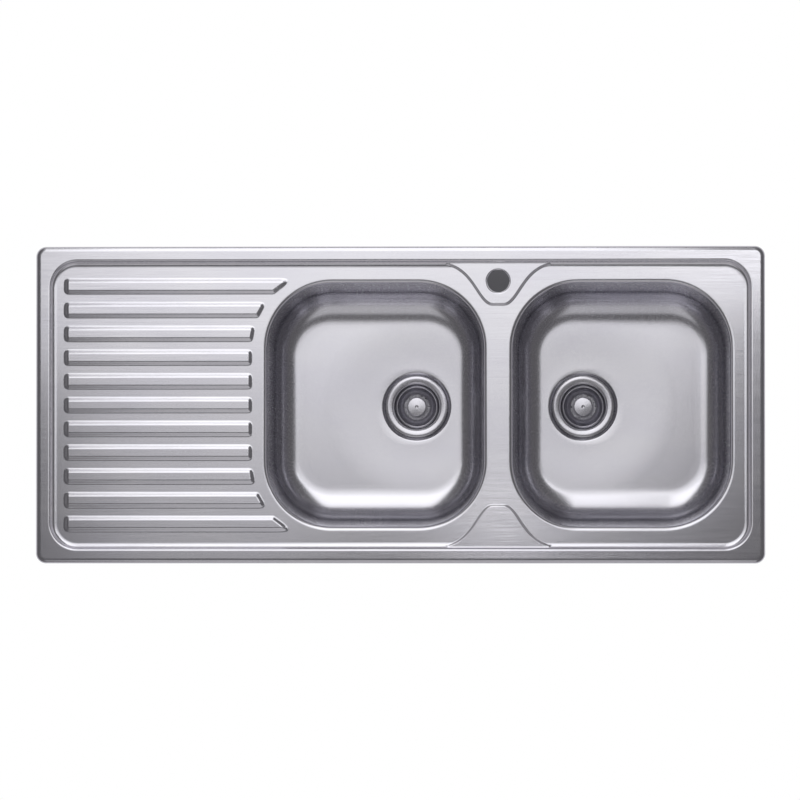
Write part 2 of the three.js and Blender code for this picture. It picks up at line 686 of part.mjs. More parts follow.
// The cup joined to that cone, with holes in its floor round the clamp screw.
function wasteCup() {
  const footRadius = CUP_RADIUS - CUP_TAPER;
  const screwWay = CLAMP_SCREW_RADIUS + 2 * FIT;
  const shell = turned([
    [CUP_RADIUS, SEAT_FOOT],
    [footRadius, -CUP_DEPTH],
    [screwWay, -CUP_DEPTH],
    [screwWay, CUP_UNDER],
    [footRadius + CUP_WALL, CUP_UNDER],
    [CUP_RADIUS + CUP_WALL, SEAT_FOOT],
  ]);
  const hole = disc(CUP_DRAIN_HOLE_RADIUS, CUP_UNDER - PAST, PAST - CUP_DEPTH, SMALL_ROUND_STEPS);
  return shell.subtract(ringOf(hole, (footRadius + CLAMP_SCREW_HEAD_RADIUS) / 2, CUP_DRAIN_HOLES));
}

// The moulded body: a rim under the gasket, a funnel to the spout, and a boss on four arms.
function wasteBody() {
  const rimRadius = RECESS_FLAT_RADIUS + BODY_RIM_LAP;
  const outer = BODY_BORE_RADIUS + BODY_WALL;
  const shell = turned([
    [0, OUTLET_Z],
    [0, BODY_TOP],
    [rimRadius, BODY_TOP],
    [rimRadius, BODY_TOP - BODY_RIM],
    [outer, BODY_TOP - BODY_RIM],
    [outer, FUNNEL_TOP - FUNNEL_WALL_DROP],
    [OUTLET_RADIUS, SPOUT_TOP - FUNNEL_WALL_DROP],
    [OUTLET_RADIUS, OUTLET_Z],
  ]);
  const passage = turned([
    [0, OUTLET_Z - PAST],
    [0, BODY_TOP + PAST],
    [BODY_BORE_RADIUS, BODY_TOP + PAST],
    [BODY_BORE_RADIUS, FUNNEL_TOP],
    [OUTLET_BORE_RADIUS, SPOUT_TOP],
    [OUTLET_BORE_RADIUS, OUTLET_Z - PAST],
  ]);
  const arm = new THREE.BoxGeometry(2 * BODY_BORE_RADIUS + BODY_WALL, BODY_WALL, ARM_DEPTH);
  arm.translate(0, 0, FUNNEL_TOP - ARM_DEPTH / 2);
  const arms = solidOf(arm).add(solidOf(arm.clone().rotateZ(Math.PI / 2)));
  const boss = disc(BOSS_RADIUS, CUP_UNDER - BOSS_LENGTH, CUP_UNDER, 12);
  const screwWay = disc(CLAMP_SCREW_RADIUS + FIT, OUTLET_Z, BODY_TOP, SMALL_ROUND_STEPS);
  const nutPocket = disc(CLAMP_NUT_RADIUS + FIT, CUP_UNDER - BOSS_LENGTH - PAST, NUT_TOP + FIT, HEXAGON);
  return shell.subtract(passage.subtract(arms.add(boss))).subtract(screwWay.add(nutPocket));
}

// The screw from the cup's floor down to the nut, under a domed head.
function clampScrew() {
  const end = CUP_UNDER - BOSS_LENGTH - CLAMP_SCREW_END;
  const headTop = CLAMP_SCREW_HEAD_HEIGHT - CUP_DEPTH;
  return turned(
    [
      [0, end],
      [0, headTop],
      [CLAMP_SCREW_HEAD_RADIUS - CLAMP_SCREW_CROWN.width, headTop],
      [CLAMP_SCREW_HEAD_RADIUS, headTop - CLAMP_SCREW_CROWN.drop],
      [CLAMP_SCREW_HEAD_RADIUS, -CUP_DEPTH],
      [CLAMP_SCREW_RADIUS, -CUP_DEPTH],
      [CLAMP_SCREW_RADIUS, end],
    ],
    SMALL_ROUND_STEPS,
  );
}

const clampNut = () =>
  disc(CLAMP_NUT_RADIUS, NUT_TOP - CLAMP_NUT_HEIGHT, NUT_TOP, HEXAGON).subtract(
    disc(CLAMP_SCREW_RADIUS + FIT, OUTLET_Z, 0, SMALL_ROUND_STEPS),
  );

// ---------- The lift-out basket ----------

// The outer radius of the basket's tapering wall at a height.
const basketWall = (z) =>
  BASKET_WALL_RADIUS + BASKET_SHEET - ((BASKET_TOP - z) / BASKET_WALL_DEPTH) * BASKET_TAPER;

// A rolled lip, a tapering wall and a dished, pierced floor round the post.
function basketShell() {
  const floor = (depth) => {
    const dish = fractions(CURVE_STEPS).map((share) => {
      const angle = (share * Math.PI) / 2;
      return [
        BASKET_FLAT_RADIUS + (BASKET_FOOT_RADIUS - BASKET_FLAT_RADIUS + depth) * Math.cos(angle),
        BASKET_FOOT - (BASKET_DISH + depth) * Math.sin(angle),
      ];
    });
    return [...dish, [POST_RADIUS + FIT, BASKET_FLOOR - depth]];
  };
  const lipUnder = BASKET_TOP - BASKET_LIP_THICKNESS;
  const shell = turned([
    [BASKET_RADIUS, BASKET_TOP],
    [BASKET_WALL_RADIUS, BASKET_TOP],
    [BASKET_WALL_RADIUS - BASKET_LIP_ROUND, lipUnder],
    ...floor(0),
    ...floor(BASKET_SHEET).reverse(),
    [basketWall(lipUnder), lipUnder],
    [BASKET_RADIUS, lipUnder],
  ]);
  const hole = disc(BASKET_HOLE_RADIUS, BASKET_FLOOR - BASKET_SHEET - PAST, BASKET_FOOT, HEXAGON);
  const rings = BASKET_HOLE_RINGS.map(({ inset, count }, i) =>
    ringOf(hole, BASKET_FOOT_RADIUS - inset, count, (i * Math.PI) / BASKET_HOLE_RINGS[0].count),
  );
  return shell.subtract(wasm.Manifold.union(rings));
}

// The rubber ring under the lip, bearing on the cone.
function basketSeal() {
  const lip = SEAL_LIP.drop - THROAT_DEPTH;
  const shoulder = SEAL_SHOULDER.drop - THROAT_DEPTH;
  const foot = SEAT_FOOT + SEAL_FOOT_RISE;
  return turned([
    [basketWall(foot) + FIT, foot],
    [basketWall(lip) + FIT, lip],
    [throatRadius(lip) - SEAL_LIP.room, lip],
    [throatRadius(shoulder) - SEAL_SHOULDER.room, shoulder],
    [seatRadius(foot) - FIT, foot],
  ]);
}

// The post that carries the knob, riveted over under the basket's floor.
function basketPost() {
  const collar = BASKET_FLOOR - BASKET_SHEET - FIT;
  return turned(
    [
      [0, collar - POST_FOOT.height],
      [0, KNOB_FOOT - FIT],
      [POST_RADIUS, KNOB_FOOT - FIT],
      [POST_RADIUS, collar],
      [POST_RADIUS + POST_FOOT.width, collar],
      [POST_RADIUS + POST_FOOT.width, collar - POST_FOOT.height],
    ],
    SMALL_ROUND_STEPS,
  );
}

// The knob: a low crown with a lip to lift it by, over a narrower neck.
const basketKnob = () =>
  turned([
    [0, KNOB_FOOT],
    [0, KNOB_RISE],
    [KNOB_RADIUS - KNOB_EDGE.width, KNOB_RISE - KNOB_CROWN],
    [KNOB_RADIUS, KNOB_RISE - KNOB_EDGE.drop],
    [KNOB_RADIUS - KNOB_LIP.inset, KNOB_RISE - KNOB_LIP.drop],
    [KNOB_UNDERCUT.radius, KNOB_RISE - KNOB_UNDERCUT.drop],
    [KNOB_NECK.radius, KNOB_FOOT + KNOB_NECK.rise],
    [KNOB_FOOT_RADIUS, KNOB_FOOT],
  ]);

// ---------- The clips ----------
// A clip is drawn with its screw on the Z axis and its claw reaching out along +Y.

// A bent strip: its middle line given at the bends, with its width along X.
function bentStrip(line, steel, width) {
  const path = line.flatMap((point, i) => {
    if (i === 0 || i === line.length - 1) return [new THREE.Vector2(...point)];
    const here = new THREE.Vector2(...point);
    const back = new THREE.Vector2(...line[i - 1]).sub(here).setLength(steel).add(here);
    const onward = new THREE.Vector2(...line[i + 1]).sub(here).setLength(steel).add(here);
    return new THREE.QuadraticBezierCurve(back, here, onward).getPoints(2);
  });
  const side = (half) =>
    path.map((point, i) => {
      const along = path[Math.min(i + 1, path.length - 1)].clone().sub(path[Math.max(i - 1, 0)]);
      const normal = new THREE.Vector2(-along.y, along.x).normalize();
      return point.clone().addScaledVector(normal, half);
    });
  const shape = new THREE.Shape([...side(-steel / 2), ...side(steel / 2).reverse()]);
  const strip = new THREE.ExtrudeGeometry(shape, { depth: width, bevelEnabled: false, steps: 1 });
  strip.translate(0, 0, -width / 2);
  // The section lies in the YZ plane and the width runs along X.
  strip.applyMatrix4(new THREE.Matrix4().makeBasis(
    new THREE.Vector3(0, 1, 0),
    new THREE.Vector3(0, 0, 1),
    new THREE.Vector3(1, 0, 0),
  ));
  return solidOf(strip);
}

// The bracket spot-welded under the deck, with a tapped leg for the screw.
function clipHanger() {
  const flangeZ = HANGER_TOP - HANGER_STEEL / 2;
  const strip = bentStrip(
    [[HANGER_REACH, flangeZ], [-HANGER_REACH, flangeZ], [-HANGER_REACH, LEG_Z], [HANGER_REACH, LEG_Z]],
    HANGER_STEEL,
    HANGER_LENGTH,
  );
  const past = HANGER_STEEL / 2 + PAST;
  return strip.subtract(disc(CLIP_SCREW_RADIUS + FIT, LEG_Z - past, LEG_Z + past, SMALL_ROUND_STEPS));
}

// The claw: a heel that bears under the bracket, and a turned-up, notched tip under the worktop.
function clipClaw() {
  const heel = HANGER_REACH + CLAW_HEEL_ROOM;
  const tip = CLAW_REACH - CLAW_STEEL;
  const tipZ = CLAW_Z + CLAW_CLIMB;
  const strip = bentStrip(
    [
      [-heel, CLAW_Z + CLAW_HEEL_RISE],
      [-heel, CLAW_Z],
      [heel + CLAW_FLAT, CLAW_Z],
      [tip - CLAW_TOOTH_SPREAD, tipZ],
      [tip + CLAW_TOOTH_SPREAD, tipZ + CLAW_TOOTH_RISE],
    ],
    CLAW_STEEL,
    CLAW_WIDTH,
  );
  const past = CLAW_STEEL / 2 + PAST;
  const hole = disc(CLIP_SCREW_RADIUS + FIT, CLAW_Z - past, CLAW_Z + past, SMALL_ROUND_STEPS);
  const notch = new THREE.CylinderGeometry(CLAW_NOTCH.radius, CLAW_NOTCH.radius, 3 * CLAW_STEEL, 4);
  notch.translate(0, tip + CLAW_TOOTH_SPREAD, tipZ + CLAW_TOOTH_RISE + CLAW_NOTCH.rise);
  const notches = [-CLAW_WIDTH / 4, CLAW_WIDTH / 4].map((x) => solidOf(notch.clone().translate(x, 0, 0)));
  return strip.subtract(wasm.Manifold.union([hole, ...notches]));
}

// A hexagon-headed screw that carries the claw on its head.
function clipScrew() {
  const headTop = CLAW_Z - CLAW_STEEL / 2 - FIT;
  const head = disc(CLIP_SCREW_HEAD_RADIUS, headTop - CLIP_SCREW_HEAD_HEIGHT, headTop, HEXAGON);
  const shank = disc(CLIP_SCREW_RADIUS, headTop - PAST, LEG_Z + CLIP_SCREW_END, SMALL_ROUND_STEPS);
  return head.add(shank);
}

// ---------- Assembly ----------

function waste(bowl) {
  const group = new THREE.Group();
  group.position.set(bowl.drainX, 0, 0);
  const raise = (solid) => solid.translate([0, 0, FLANGE_Z]);
  const add = (name, solid, material) => group.add(piece(`${name}_${bowl.side}`, raise(solid), material));
  const gasketBore = WASTE_HOLE_RADIUS + FIT;
  const flangeGasket = washer(gasketBore, FLANGE_RADIUS - GASKET_INSET, -FLANGE_GASKET, 0);
  const bodyGasket = washer(gasketBore, RECESS_FLAT_RADIUS, BODY_TOP, SHEET_UNDER);
  add("waste_flange", wasteFlange(), stainless);
  add("waste_cup", wasteCup(), stainless);
  add("flange_gasket", flangeGasket, rubber);
  add("body_gasket", bodyGasket, rubber);
  add("waste_body", wasteBody(), whitePlastic);
  add("clamp_screw", clampScrew(), zincPlate);
  add("clamp_nut", clampNut(), brass);
  add("basket_shell", basketShell(), stainless);
  add("basket_seal", basketSeal(), rubber);
  add("basket_post", basketPost(), stainless);
  add("basket_knob", basketKnob(), stainless);
  return group;
}

// Places along the sink, clear of the ledges, the same at the front and the back.
const clipPlaces = [
  -SINK_LENGTH / 2 + CLIP_FROM_DRAINER_END,
  leftBowl.x - CLIP_FROM_LEFT_BOWL,
  TAP_AXIS_X + LEDGE_HALF_WIDTH + CLIP_FROM_LEDGE,
  SINK_LENGTH / 2 - CLIP_FROM_BOWL_END,
];

function clip(number, x, end) {
  const group = new THREE.Group();
  group.position.set(x, end * CLIP_Y, 0);
  group.rotation.z = end > 0 ? 0 : Math.PI;
  group.add(piece(`clip_hanger_${number}`, clipHanger(), zincPlate));
  group.add(piece(`clip_screw_${number}`, clipScrew(), zincPlate));
  group.add(piece(`clip_claw_${number}`, clipClaw(), zincPlate));
  return group;
}

const sink = new THREE.Group();
sink.add(piece("sink_top", sinkTop(), stainless));
for (const bowl of bowls) {
  sink.add(piece(`bowl_${bowl.side}`, bowlShell(bowl), stainless));
  sink.add(piece(`sound_pad_${bowl.side}`, soundPad(bowl), bitumen));
  sink.add(waste(bowl));
}
sink.add(piece("rim_seal", rimSeal(), foam));
clipPlaces.forEach((x, i) => {
  sink.add(clip(2 * i + 1, x, -1));
  sink.add(clip(2 * i + 2, x, 1));
});

export default sink;
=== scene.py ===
"""The looks of a pressed steel kitchen sink with two bowls and a drainer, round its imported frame.

Sizes are in millimetres until a mesh is made, which turns them into metres. A profile is a list
of (radius, height) or (inset, height) pairs, and a ring is a closed list of points, anticlockwise
from above. The studio's sizes are in metres.
"""

from __future__ import annotations

import logging
import math
from collections.abc import Sequence
from dataclasses import dataclass, field
from enum import Enum

import bmesh
import bpy
from mathutils import Matrix, Vector
from mathutils.geometry import delaunay_2d_cdt

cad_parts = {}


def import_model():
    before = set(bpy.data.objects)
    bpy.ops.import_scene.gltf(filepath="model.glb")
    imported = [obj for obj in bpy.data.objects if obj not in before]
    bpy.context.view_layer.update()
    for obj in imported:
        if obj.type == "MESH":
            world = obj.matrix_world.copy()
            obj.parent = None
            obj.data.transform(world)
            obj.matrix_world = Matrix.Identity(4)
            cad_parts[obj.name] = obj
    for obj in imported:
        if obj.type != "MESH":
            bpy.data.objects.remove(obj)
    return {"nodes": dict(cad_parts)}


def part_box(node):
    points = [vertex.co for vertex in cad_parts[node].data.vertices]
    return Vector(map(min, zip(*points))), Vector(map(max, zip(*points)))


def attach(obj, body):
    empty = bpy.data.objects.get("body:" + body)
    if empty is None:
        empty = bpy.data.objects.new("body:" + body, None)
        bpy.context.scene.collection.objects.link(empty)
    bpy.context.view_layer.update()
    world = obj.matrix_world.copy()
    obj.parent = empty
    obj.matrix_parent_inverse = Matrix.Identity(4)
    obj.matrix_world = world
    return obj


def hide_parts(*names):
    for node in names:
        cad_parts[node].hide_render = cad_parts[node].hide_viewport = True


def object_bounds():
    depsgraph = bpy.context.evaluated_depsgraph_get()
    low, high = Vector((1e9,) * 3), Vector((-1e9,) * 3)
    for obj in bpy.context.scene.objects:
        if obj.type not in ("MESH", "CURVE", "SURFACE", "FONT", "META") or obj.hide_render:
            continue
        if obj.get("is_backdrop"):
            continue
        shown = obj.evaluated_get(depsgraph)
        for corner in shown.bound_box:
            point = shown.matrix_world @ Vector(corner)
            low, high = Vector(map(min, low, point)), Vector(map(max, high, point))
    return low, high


MM = 0.001
LOG = logging.getLogger("sink")
RIB_INSET = "rib_inset"  # the attribute that says how far inside a rib's outline a point lies
TURN = "turn"  # the attribute that says how far a part set out at a point is turned
BOWL_CORNER = 20  # the steps of a bowl's corner and side, so that the deck and the bowl meet
BOWL_SIDE = 8
SHEET = 0.8  # the thickness of the top's and the bowls' sheet
WELD = 1e-3  # points nearer than this become one
TINY = 1e-12  # keeps a division from being by nothing
AXIS = 0.01  # how near its axis the profile of a piece with no bore runs
NOISE_RANGE = (0.3, 0.7)  # what a noise's value seldom leaves
CREASE = 32.0  # the angle in degrees past which an edge stays sharp, here and for other surfaces
PRESSED_CREASE = 40.0
THREAD_CREASE = 38.0
MOULDED_CREASE = 50.0

Pair = tuple[float, float]
Point = tuple[float, float, float]
Face = tuple[int, ...]
Tree = bpy.types.NodeTree
Node = bpy.types.Node
Socket = bpy.types.NodeSocket
Material = bpy.types.Material
Mesh = bpy.types.Mesh
Object = bpy.types.Object


class Side(Enum):
    """Which of the two bowls a piece belongs to."""

    LEFT = "left"
    RIGHT = "right"


class Grain(Enum):
    """Which way a metal surface was worked, as the stretch of its pattern along X, Y and Z."""

    ALONG = (0.012, 1.0, 1.0)
    DRAWN = (1.0, 1.0, 0.03)
    EVEN = (1.0, 1.0, 1.0)


# ---------- Nodes ----------


def linear(colour: str) -> tuple[float, float, float, float]:
    """Turns an sRGB hex colour into linear light.

    Args:
        colour: Six hex digits after a hash.

    Returns:
        Red, green, blue and an alpha of 1.
    """
    channels = [int(colour[i : i + 2], 16) / 255 for i in (1, 3, 5)]
    light = (c / 12.92 if c <= 0.04045 else ((c + 0.055) / 1.055) ** 2.4 for c in channels)
    return (*light, 1.0)


def add_node(tree: Tree, kind: str, inputs: dict | None = None, **settings: object) -> Node:
    """Adds a node to a tree.

    Args:
        tree: The shader or geometry node tree.
        kind: The node's type.
        inputs: What each input, by name or number, is set to or linked from.
        settings: The node's own properties.

    Returns:
        The new node.
    """
    node = tree.nodes.new(kind)
    for name, value in settings.items():
        setattr(node, name, value)
    for key, value in (inputs or {}).items():
        if isinstance(value, Socket):
            tree.links.new(value, node.inputs[key])
        else:
            node.inputs[key].default_value = value
    return node


def new_surface(name: str, sockets: dict[str, object]) -> tuple[Material, Tree, Node]:
    """Starts a material with one shader.

    Args:
        name: The material's name.
        sockets: Values set straight on the shader's sockets.

    Returns:
        The material, its tree and its shader.
    """
    material = bpy.data.materials.new(name)
    material.use_nodes = True
    tree = material.node_tree
    tree.nodes.clear()
    shader = add_node(tree, "ShaderNodeBsdfPrincipled", sockets)
    add_node(tree, "ShaderNodeOutputMaterial", {"Surface": shader.outputs["BSDF"]})
    return material, tree, shader


def pattern(
    tree: Tree,
    spacing: float,
    stretch: Sequence[float] = (1, 1, 1),
    detail: float = 2.0,
) -> Socket:
    """Adds noise on object coordinates.

    Args:
        tree: The material's tree.
        spacing: The distance between two features, in millimetres.
        stretch: How much denser than that the pattern is along X, Y and Z.
        detail: The noise's octaves.

    Returns:
        The noise's value, from 0 to 1.
    """
    coordinates = add_node(tree, "ShaderNodeTexCoord").outputs["Object"]
    scale = tuple(s / (spacing * MM) for s in stretch)
    mapping = add_node(tree, "ShaderNodeMapping", {"Vector": coordinates, "Scale": scale})
    sizes = {"Vector": mapping.outputs["Vector"], "Scale": 1.0, "Detail": detail}
    return add_node(tree, "ShaderNodeTexNoise", sizes).outputs["Fac"]


def spread(tree: Tree, value: Socket, low: float, high: float) -> Socket:
    """Maps the middle of a noise to a range.

    Args:
        tree: The material's tree.
        value: The noise.
        low: What its low end becomes.
        high: What its high end becomes.

    Returns:
        The mapped value.
    """
    start, end = NOISE_RANGE
    sizes = {"Value": value, "From Min": start, "From Max": end, "To Min": low, "To Max": high}
    return add_node(tree, "ShaderNodeMapRange", sizes).outputs["Result"]


def tint(tree: Tree, shader: Node, share: Socket, first: str, second: str) -> None:
    """Gives a shader a base colour that wanders between two.

    Args:
        tree: The material's tree.
        shader: The shader that takes it.
        share: How much of the second colour shows, from 0 to 1.
        first: One colour in hex.
        second: The other.
    """
    colours = {0: share, 6: linear(first), 7: linear(second)}  # the node's own colour sockets
    mix = add_node(tree, "ShaderNodeMix", colours, data_type="RGBA")
    mixed = mix.outputs[2]
    tree.links.new(mixed, shader.inputs["Base Color"])


def relief(tree: Tree, shader: Node, height: Socket, depth: float) -> None:
    """Gives a shader the relief of a pattern.

    Args:
        tree: The material's tree.
        shader: The shader that takes it.
        height: The pattern, from 0 to 1.
        depth: Its depth in millimetres.
    """
    bump = add_node(tree, "ShaderNodeBump", {"Height": height, "Distance": depth * MM})
    tree.links.new(bump.outputs["Normal"], shader.inputs["Normal"])


# ---------- Finishes ----------


@dataclass(frozen=True)
class GroundSteel:
    """Stainless steel, ground fine and then pressed: its scratches draw out soft reflections."""

    name: str = "Stainless steel ground along the sheet"
    colour: str = "#CBCACF"
    shade: str = "#C5C4CB"
    roughness: float = 0.22
    uneven: float = 0.05
    grain: Grain = Grain.ALONG
    scratch: float = 0.8  # the real grit's scratches are under 0.1 mm apart, too fine to show
    scratch_detail: float = 3.0
    depth: float = 0.004
    cloud: float = 90.0
    cloud_stretch: Point = (0.5, 1.0, 1.0)

    def material(self) -> Material:
        """Makes the material, its scratches and the slow change of tone that rolling leaves."""
        material, tree, shader = new_surface(self.name, {"Metallic": 1.0})
        scratches = pattern(tree, self.scratch, self.grain.value, self.scratch_detail)
        clouds = pattern(tree, self.cloud, self.cloud_stretch)
        tint(tree, shader, spread(tree, clouds, 0.0, 1.0), self.colour, self.shade)
        rough = spread(tree, scratches, self.roughness - self.uneven, self.roughness + self.uneven)
        tree.links.new(rough, shader.inputs["Roughness"])
        relief(tree, shader, scratches, self.depth)
        return material


@dataclass(frozen=True)
class MatteSurface:
    """A surface that isn't metal: one colour, broken up by a fine and a broad pattern."""

    name: str
    colour: str
    shade: str
    roughness: float
    grain: float
    depth: float
    uneven: float = 0.05
    broadness: float = 12.0  # how much coarser the broad pattern is

    def material(self) -> Material:
        """Makes the material."""
        material, tree, shader = new_surface(self.name, {})
        fine = pattern(tree, self.grain)
        broad = pattern(tree, self.broadness * self.grain)
        tint(tree, shader, spread(tree, broad, 0.0, 1.0), self.colour, self.shade)
        rough = spread(tree, fine, self.roughness - self.uneven, self.roughness + self.uneven)
        tree.links.new(rough, shader.inputs["Roughness"])
        relief(tree, shader, fine, self.depth)
        return material


@dataclass(frozen=True)
class PlatedMetal:
    """A plated or turned metal part: a little cloudy, with the marks of its working."""

    name: str
    colour: str
    shade: str
    roughness: float
    grain: float = 2.5
    depth: float = 0.01
    uneven: float = 0.06

    def material(self) -> Material:
        """Makes the material."""
        material, tree, shader = new_surface(self.name, {"Metallic": 1.0})
        clouds = pattern(tree, self.grain)
        tint(tree, shader, spread(tree, clouds, 0.0, 1.0), self.colour, self.shade)
        rough = spread(tree, clouds, self.roughness - self.uneven, self.roughness + self.uneven)
        tree.links.new(rough, shader.inputs["Roughness"])
        relief(tree, shader, clouds, self.depth)
        return material


class Palette:
    """The sink's finishes, each made once."""

    def __init__(self) -> None:
        """Makes every material."""
        self.top = GroundSteel().material()
        # drawn and ground down the walls: even and soft, its streaks upright
        self.bowl = GroundSteel(
            "Stainless steel drawn and satin ground",
            grain=Grain.DRAWN,
            roughness=0.24,
            depth=0.0012,
        ).material()
        # small pressings, tumbled bright: smooth, with no direction
        self.fitting = GroundSteel(
            "Stainless steel pressed and polished",
            grain=Grain.EVEN,
            roughness=0.28,
            uneven=0.03,
            depth=0.001,
        ).material()
        # a thin electroplated coat: cold, pale and a little cloudy
        self.zinc = PlatedMetal("Steel bright zinc plated", "#C6CBD2", "#AEB6C0", 0.38).material()
        # cut on a lathe and left bare: warm yellow, half bright
        self.brass = PlatedMetal("Brass turned", "#C8A45A", "#B38F48", 0.3).material()
        # from a satin mould: black with a low sheen
        self.rubber = MatteSurface(
            "Nitrile rubber moulded",
            "#26272A",
            "#1E1F21",
            roughness=0.62,
            grain=0.6,
            depth=0.01,
        ).material()
        # cut through its cells: dull, with fine pits
        self.foam = MatteSurface(
            "Polyethylene foam closed cell",
            "#3C3D41",
            "#2F3033",
            roughness=0.9,
            grain=0.9,
            depth=0.15,
        ).material()
        # rolled warm: a dull dark sheet, dimpled by the rollers
        self.bitumen = MatteSurface(
            "Bitumen damping sheet rolled",
            "#4B4A48",
            "#3D3C3A",
            roughness=0.82,
            grain=2.2,
            depth=0.3,
        ).material()
        # injection moulded: off-white, half matt
        self.plastic = MatteSurface(
            "Polypropylene moulded white",
            "#E8E8E3",
            "#DEDED8",
            roughness=0.42,
            grain=0.8,
            depth=0.01,
        ).material()


# ---------- Meshes ----------


@dataclass
class Skin:
    """A mesh in the making, in millimetres."""

    points: list[Point] = field(default_factory=list)
    faces: list[Face] = field(default_factory=list)

    def add_ring(self, ring: Sequence[Point]) -> list[int]:
        """Adds a ring's points and returns their numbers."""
        start = len(self.points)
        self.points.extend(ring)
        return list(range(start, start + len(ring)))

    def bridge(self, lower: Sequence[int], upper: Sequence[int]) -> None:
        """Joins two rings of as many points by a band of faces."""
        count = len(lower)
        for i in range(count):
            following = (i + 1) % count
            self.faces.append((lower[i], lower[following], upper[following], upper[i]))

    def loft(
        self, rings: Sequence[Sequence[Point]], closed: bool = False, capped: bool = False
    ) -> None:
        """Adds the skin through rings.

        Args:
            rings: The rings, from the lowest up or round a hollow.
            closed: Whether the last ring joins the first.
            capped: Whether both ends get a face.
        """
        numbers = [self.add_ring(ring) for ring in rings]
        for lower, upper in zip(numbers, numbers[1:]):
            self.bridge(lower, upper)
        if closed:
            self.bridge(numbers[-1], numbers[0])
        if capped:
            self.faces.append(tuple(reversed(numbers[0])))
            self.faces.append(tuple(numbers[-1]))

    def join(self, other: Skin) -> None:
        """Adds another skin to this one."""
        start = len(self.points)
        self.points.extend(other.points)
        self.faces.extend(tuple(start + i for i in face) for face in other.faces)

    def mesh(self, name: str, merge: float = WELD, outwards: bool = True) -> Mesh:
        """Makes the mesh in metres.

        Args:
            name: The mesh's name.
            merge: Points nearer than this many millimetres become one, or 0 to keep them all.
            outwards: Whether the faces are turned to point outwards.

        Returns:
            The mesh.
        """
        made = bpy.data.meshes.new(name)
        made.from_pydata([tuple(MM * c for c in point) for point in self.points], [], self.faces)
        work = bmesh.new()
        work.from_mesh(made)
        if merge:
            bmesh.ops.remove_doubles(work, verts=work.verts, dist=merge * MM)
        if outwards:
            bmesh.ops.recalc_face_normals(work, faces=work.faces)
        work.to_mesh(made)
        work.free()
        return made


def shade(mesh: Mesh, crease: float = CREASE) -> None:
    """Shades a mesh smooth, apart from edges sharper than an angle in degrees."""
    mesh.shade_smooth()
    mesh.set_sharp_from_angle(angle=math.radians(crease))


def new_object(name: str, mesh: Mesh, material: Material) -> Object:
    """Puts a mesh in the scene as an object at the origin, with one material."""
    mesh.materials.clear()
    mesh.materials.append(material)
    made = bpy.data.objects.new(name, mesh)
    bpy.context.scene.collection.objects.link(made)
    return made


def place(piece: Object, body: str, slot: str, nodes: Sequence[str]) -> None:
    """Puts a finished piece on the body it rides on and hides the CAD nodes it stands for.

    Args:
        piece: The piece.
        body: The body it rides on.
        slot: The record's material slot; not used.
        nodes: The CAD nodes it stands for.
    """
    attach(piece, body)
    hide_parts(*nodes)
    LOG.info("%s: %d faces on %s", piece.name, len(piece.data.polygons), body)


def rounded_rectangle(
    length: float, width: float, radius: float, centre: float = 0.0, corner: int = 12, side: int = 1
) -> list[Pair]:
    """Draws a rounded rectangle about a point on the X axis.

    Args:
        length: Its size along X.
        width: Its size along Y.
        radius: Its corner radius.
        centre: Its middle's X.
        corner: The steps of a corner.
        side: The steps of a side.

    Returns:
        The ring, from the upper end of its right side.
    """
    middle = (length / 2 - radius, width / 2 - radius)
    signs = ((1, 1), (-1, 1), (-1, -1), (1, -1))

    def on_corner(number: int, step: int) -> Pair:
        """Gives a point of one corner's arc."""
        angle = math.pi / 2 * (number + step / corner)
        sx, sy = signs[number % 4]
        x = centre + sx * middle[0] + radius * math.cos(angle)
        return (x, sy * middle[1] + radius * math.sin(angle))

    ring = []
    for number in range(4):
        ring.extend(on_corner(number, step) for step in range(corner + 1))
        start, end = on_corner(number, corner), on_corner((number + 1) % 4, 0)
        for step in range(1, side):
            share = step / side
            ring.append(tuple(a + (b - a) * share for a, b in zip(start, end)))
    return ring


def circle(centre: Pair, radius: float, steps: int, first: float = 0.0) -> list[Pair]:
    """Draws a circle.

    Args:
        centre: Its middle.
        radius: Its radius.
        steps: The steps of the full turn.
        first: How many steps from the X axis it starts.

    Returns:
        The ring.
    """
    spin = [2 * math.pi * (step + first) / steps for step in range(steps)]
    return [(centre[0] + radius * math.cos(a), centre[1] + radius * math.sin(a)) for a in spin]


def lift(ring: Sequence[Pair], height: float) -> list[Point]:
    """Puts a flat ring at a height."""
    return [(x, y, height) for x, y in ring]


def fractions(steps: int) -> list[float]:
    """Gives values from 0 to 1 in equal steps, both ends included."""
    return [step / steps for step in range(steps + 1)]


def eased(share: float) -> float:
    """Turns a share into one that starts and ends gently."""
    return share * share * (3 - 2 * share)


def corner_curve(start: Vector, corner: Vector, end: Vector, steps: int) -> list[Pair]:
    """Gives the points of the curve that rounds a corner, both ends included."""
    made = []
    for share in fractions(steps):
        rest = 1 - share
        made.append(tuple(rest**2 * start + 2 * share * rest * corner + share**2 * end))
    return made


def rounded_profile(profile: Sequence[tuple[float, ...]], steps: int = 5) -> list[Pair]:
    """Rounds a profile's corners.

    Args:
        profile: The corners as (radius, height) or (radius, height, rounding).
        steps: The steps of a rounding.

    Returns:
        The closed profile's points.
    """
    most = 0.45  # the share of a side that a rounding may take, so that two never meet
    made: list[Pair] = []
    count = len(profile)
    for i, corner in enumerate(profile):
        here = Vector(corner[:2])
        rounding = corner[2] if len(corner) > 2 else 0.0
        if not rounding:
            made.append(tuple(here))
            continue
        back = Vector(profile[i - 1][:2]) - here
        onward = Vector(profile[(i + 1) % count][:2]) - here
        reach = min(rounding, most * back.length, most * onward.length)
        start, end = here + back.normalized() * reach, here + onward.normalized() * reach
        made.extend(corner_curve(start, here, end, steps))
    return made


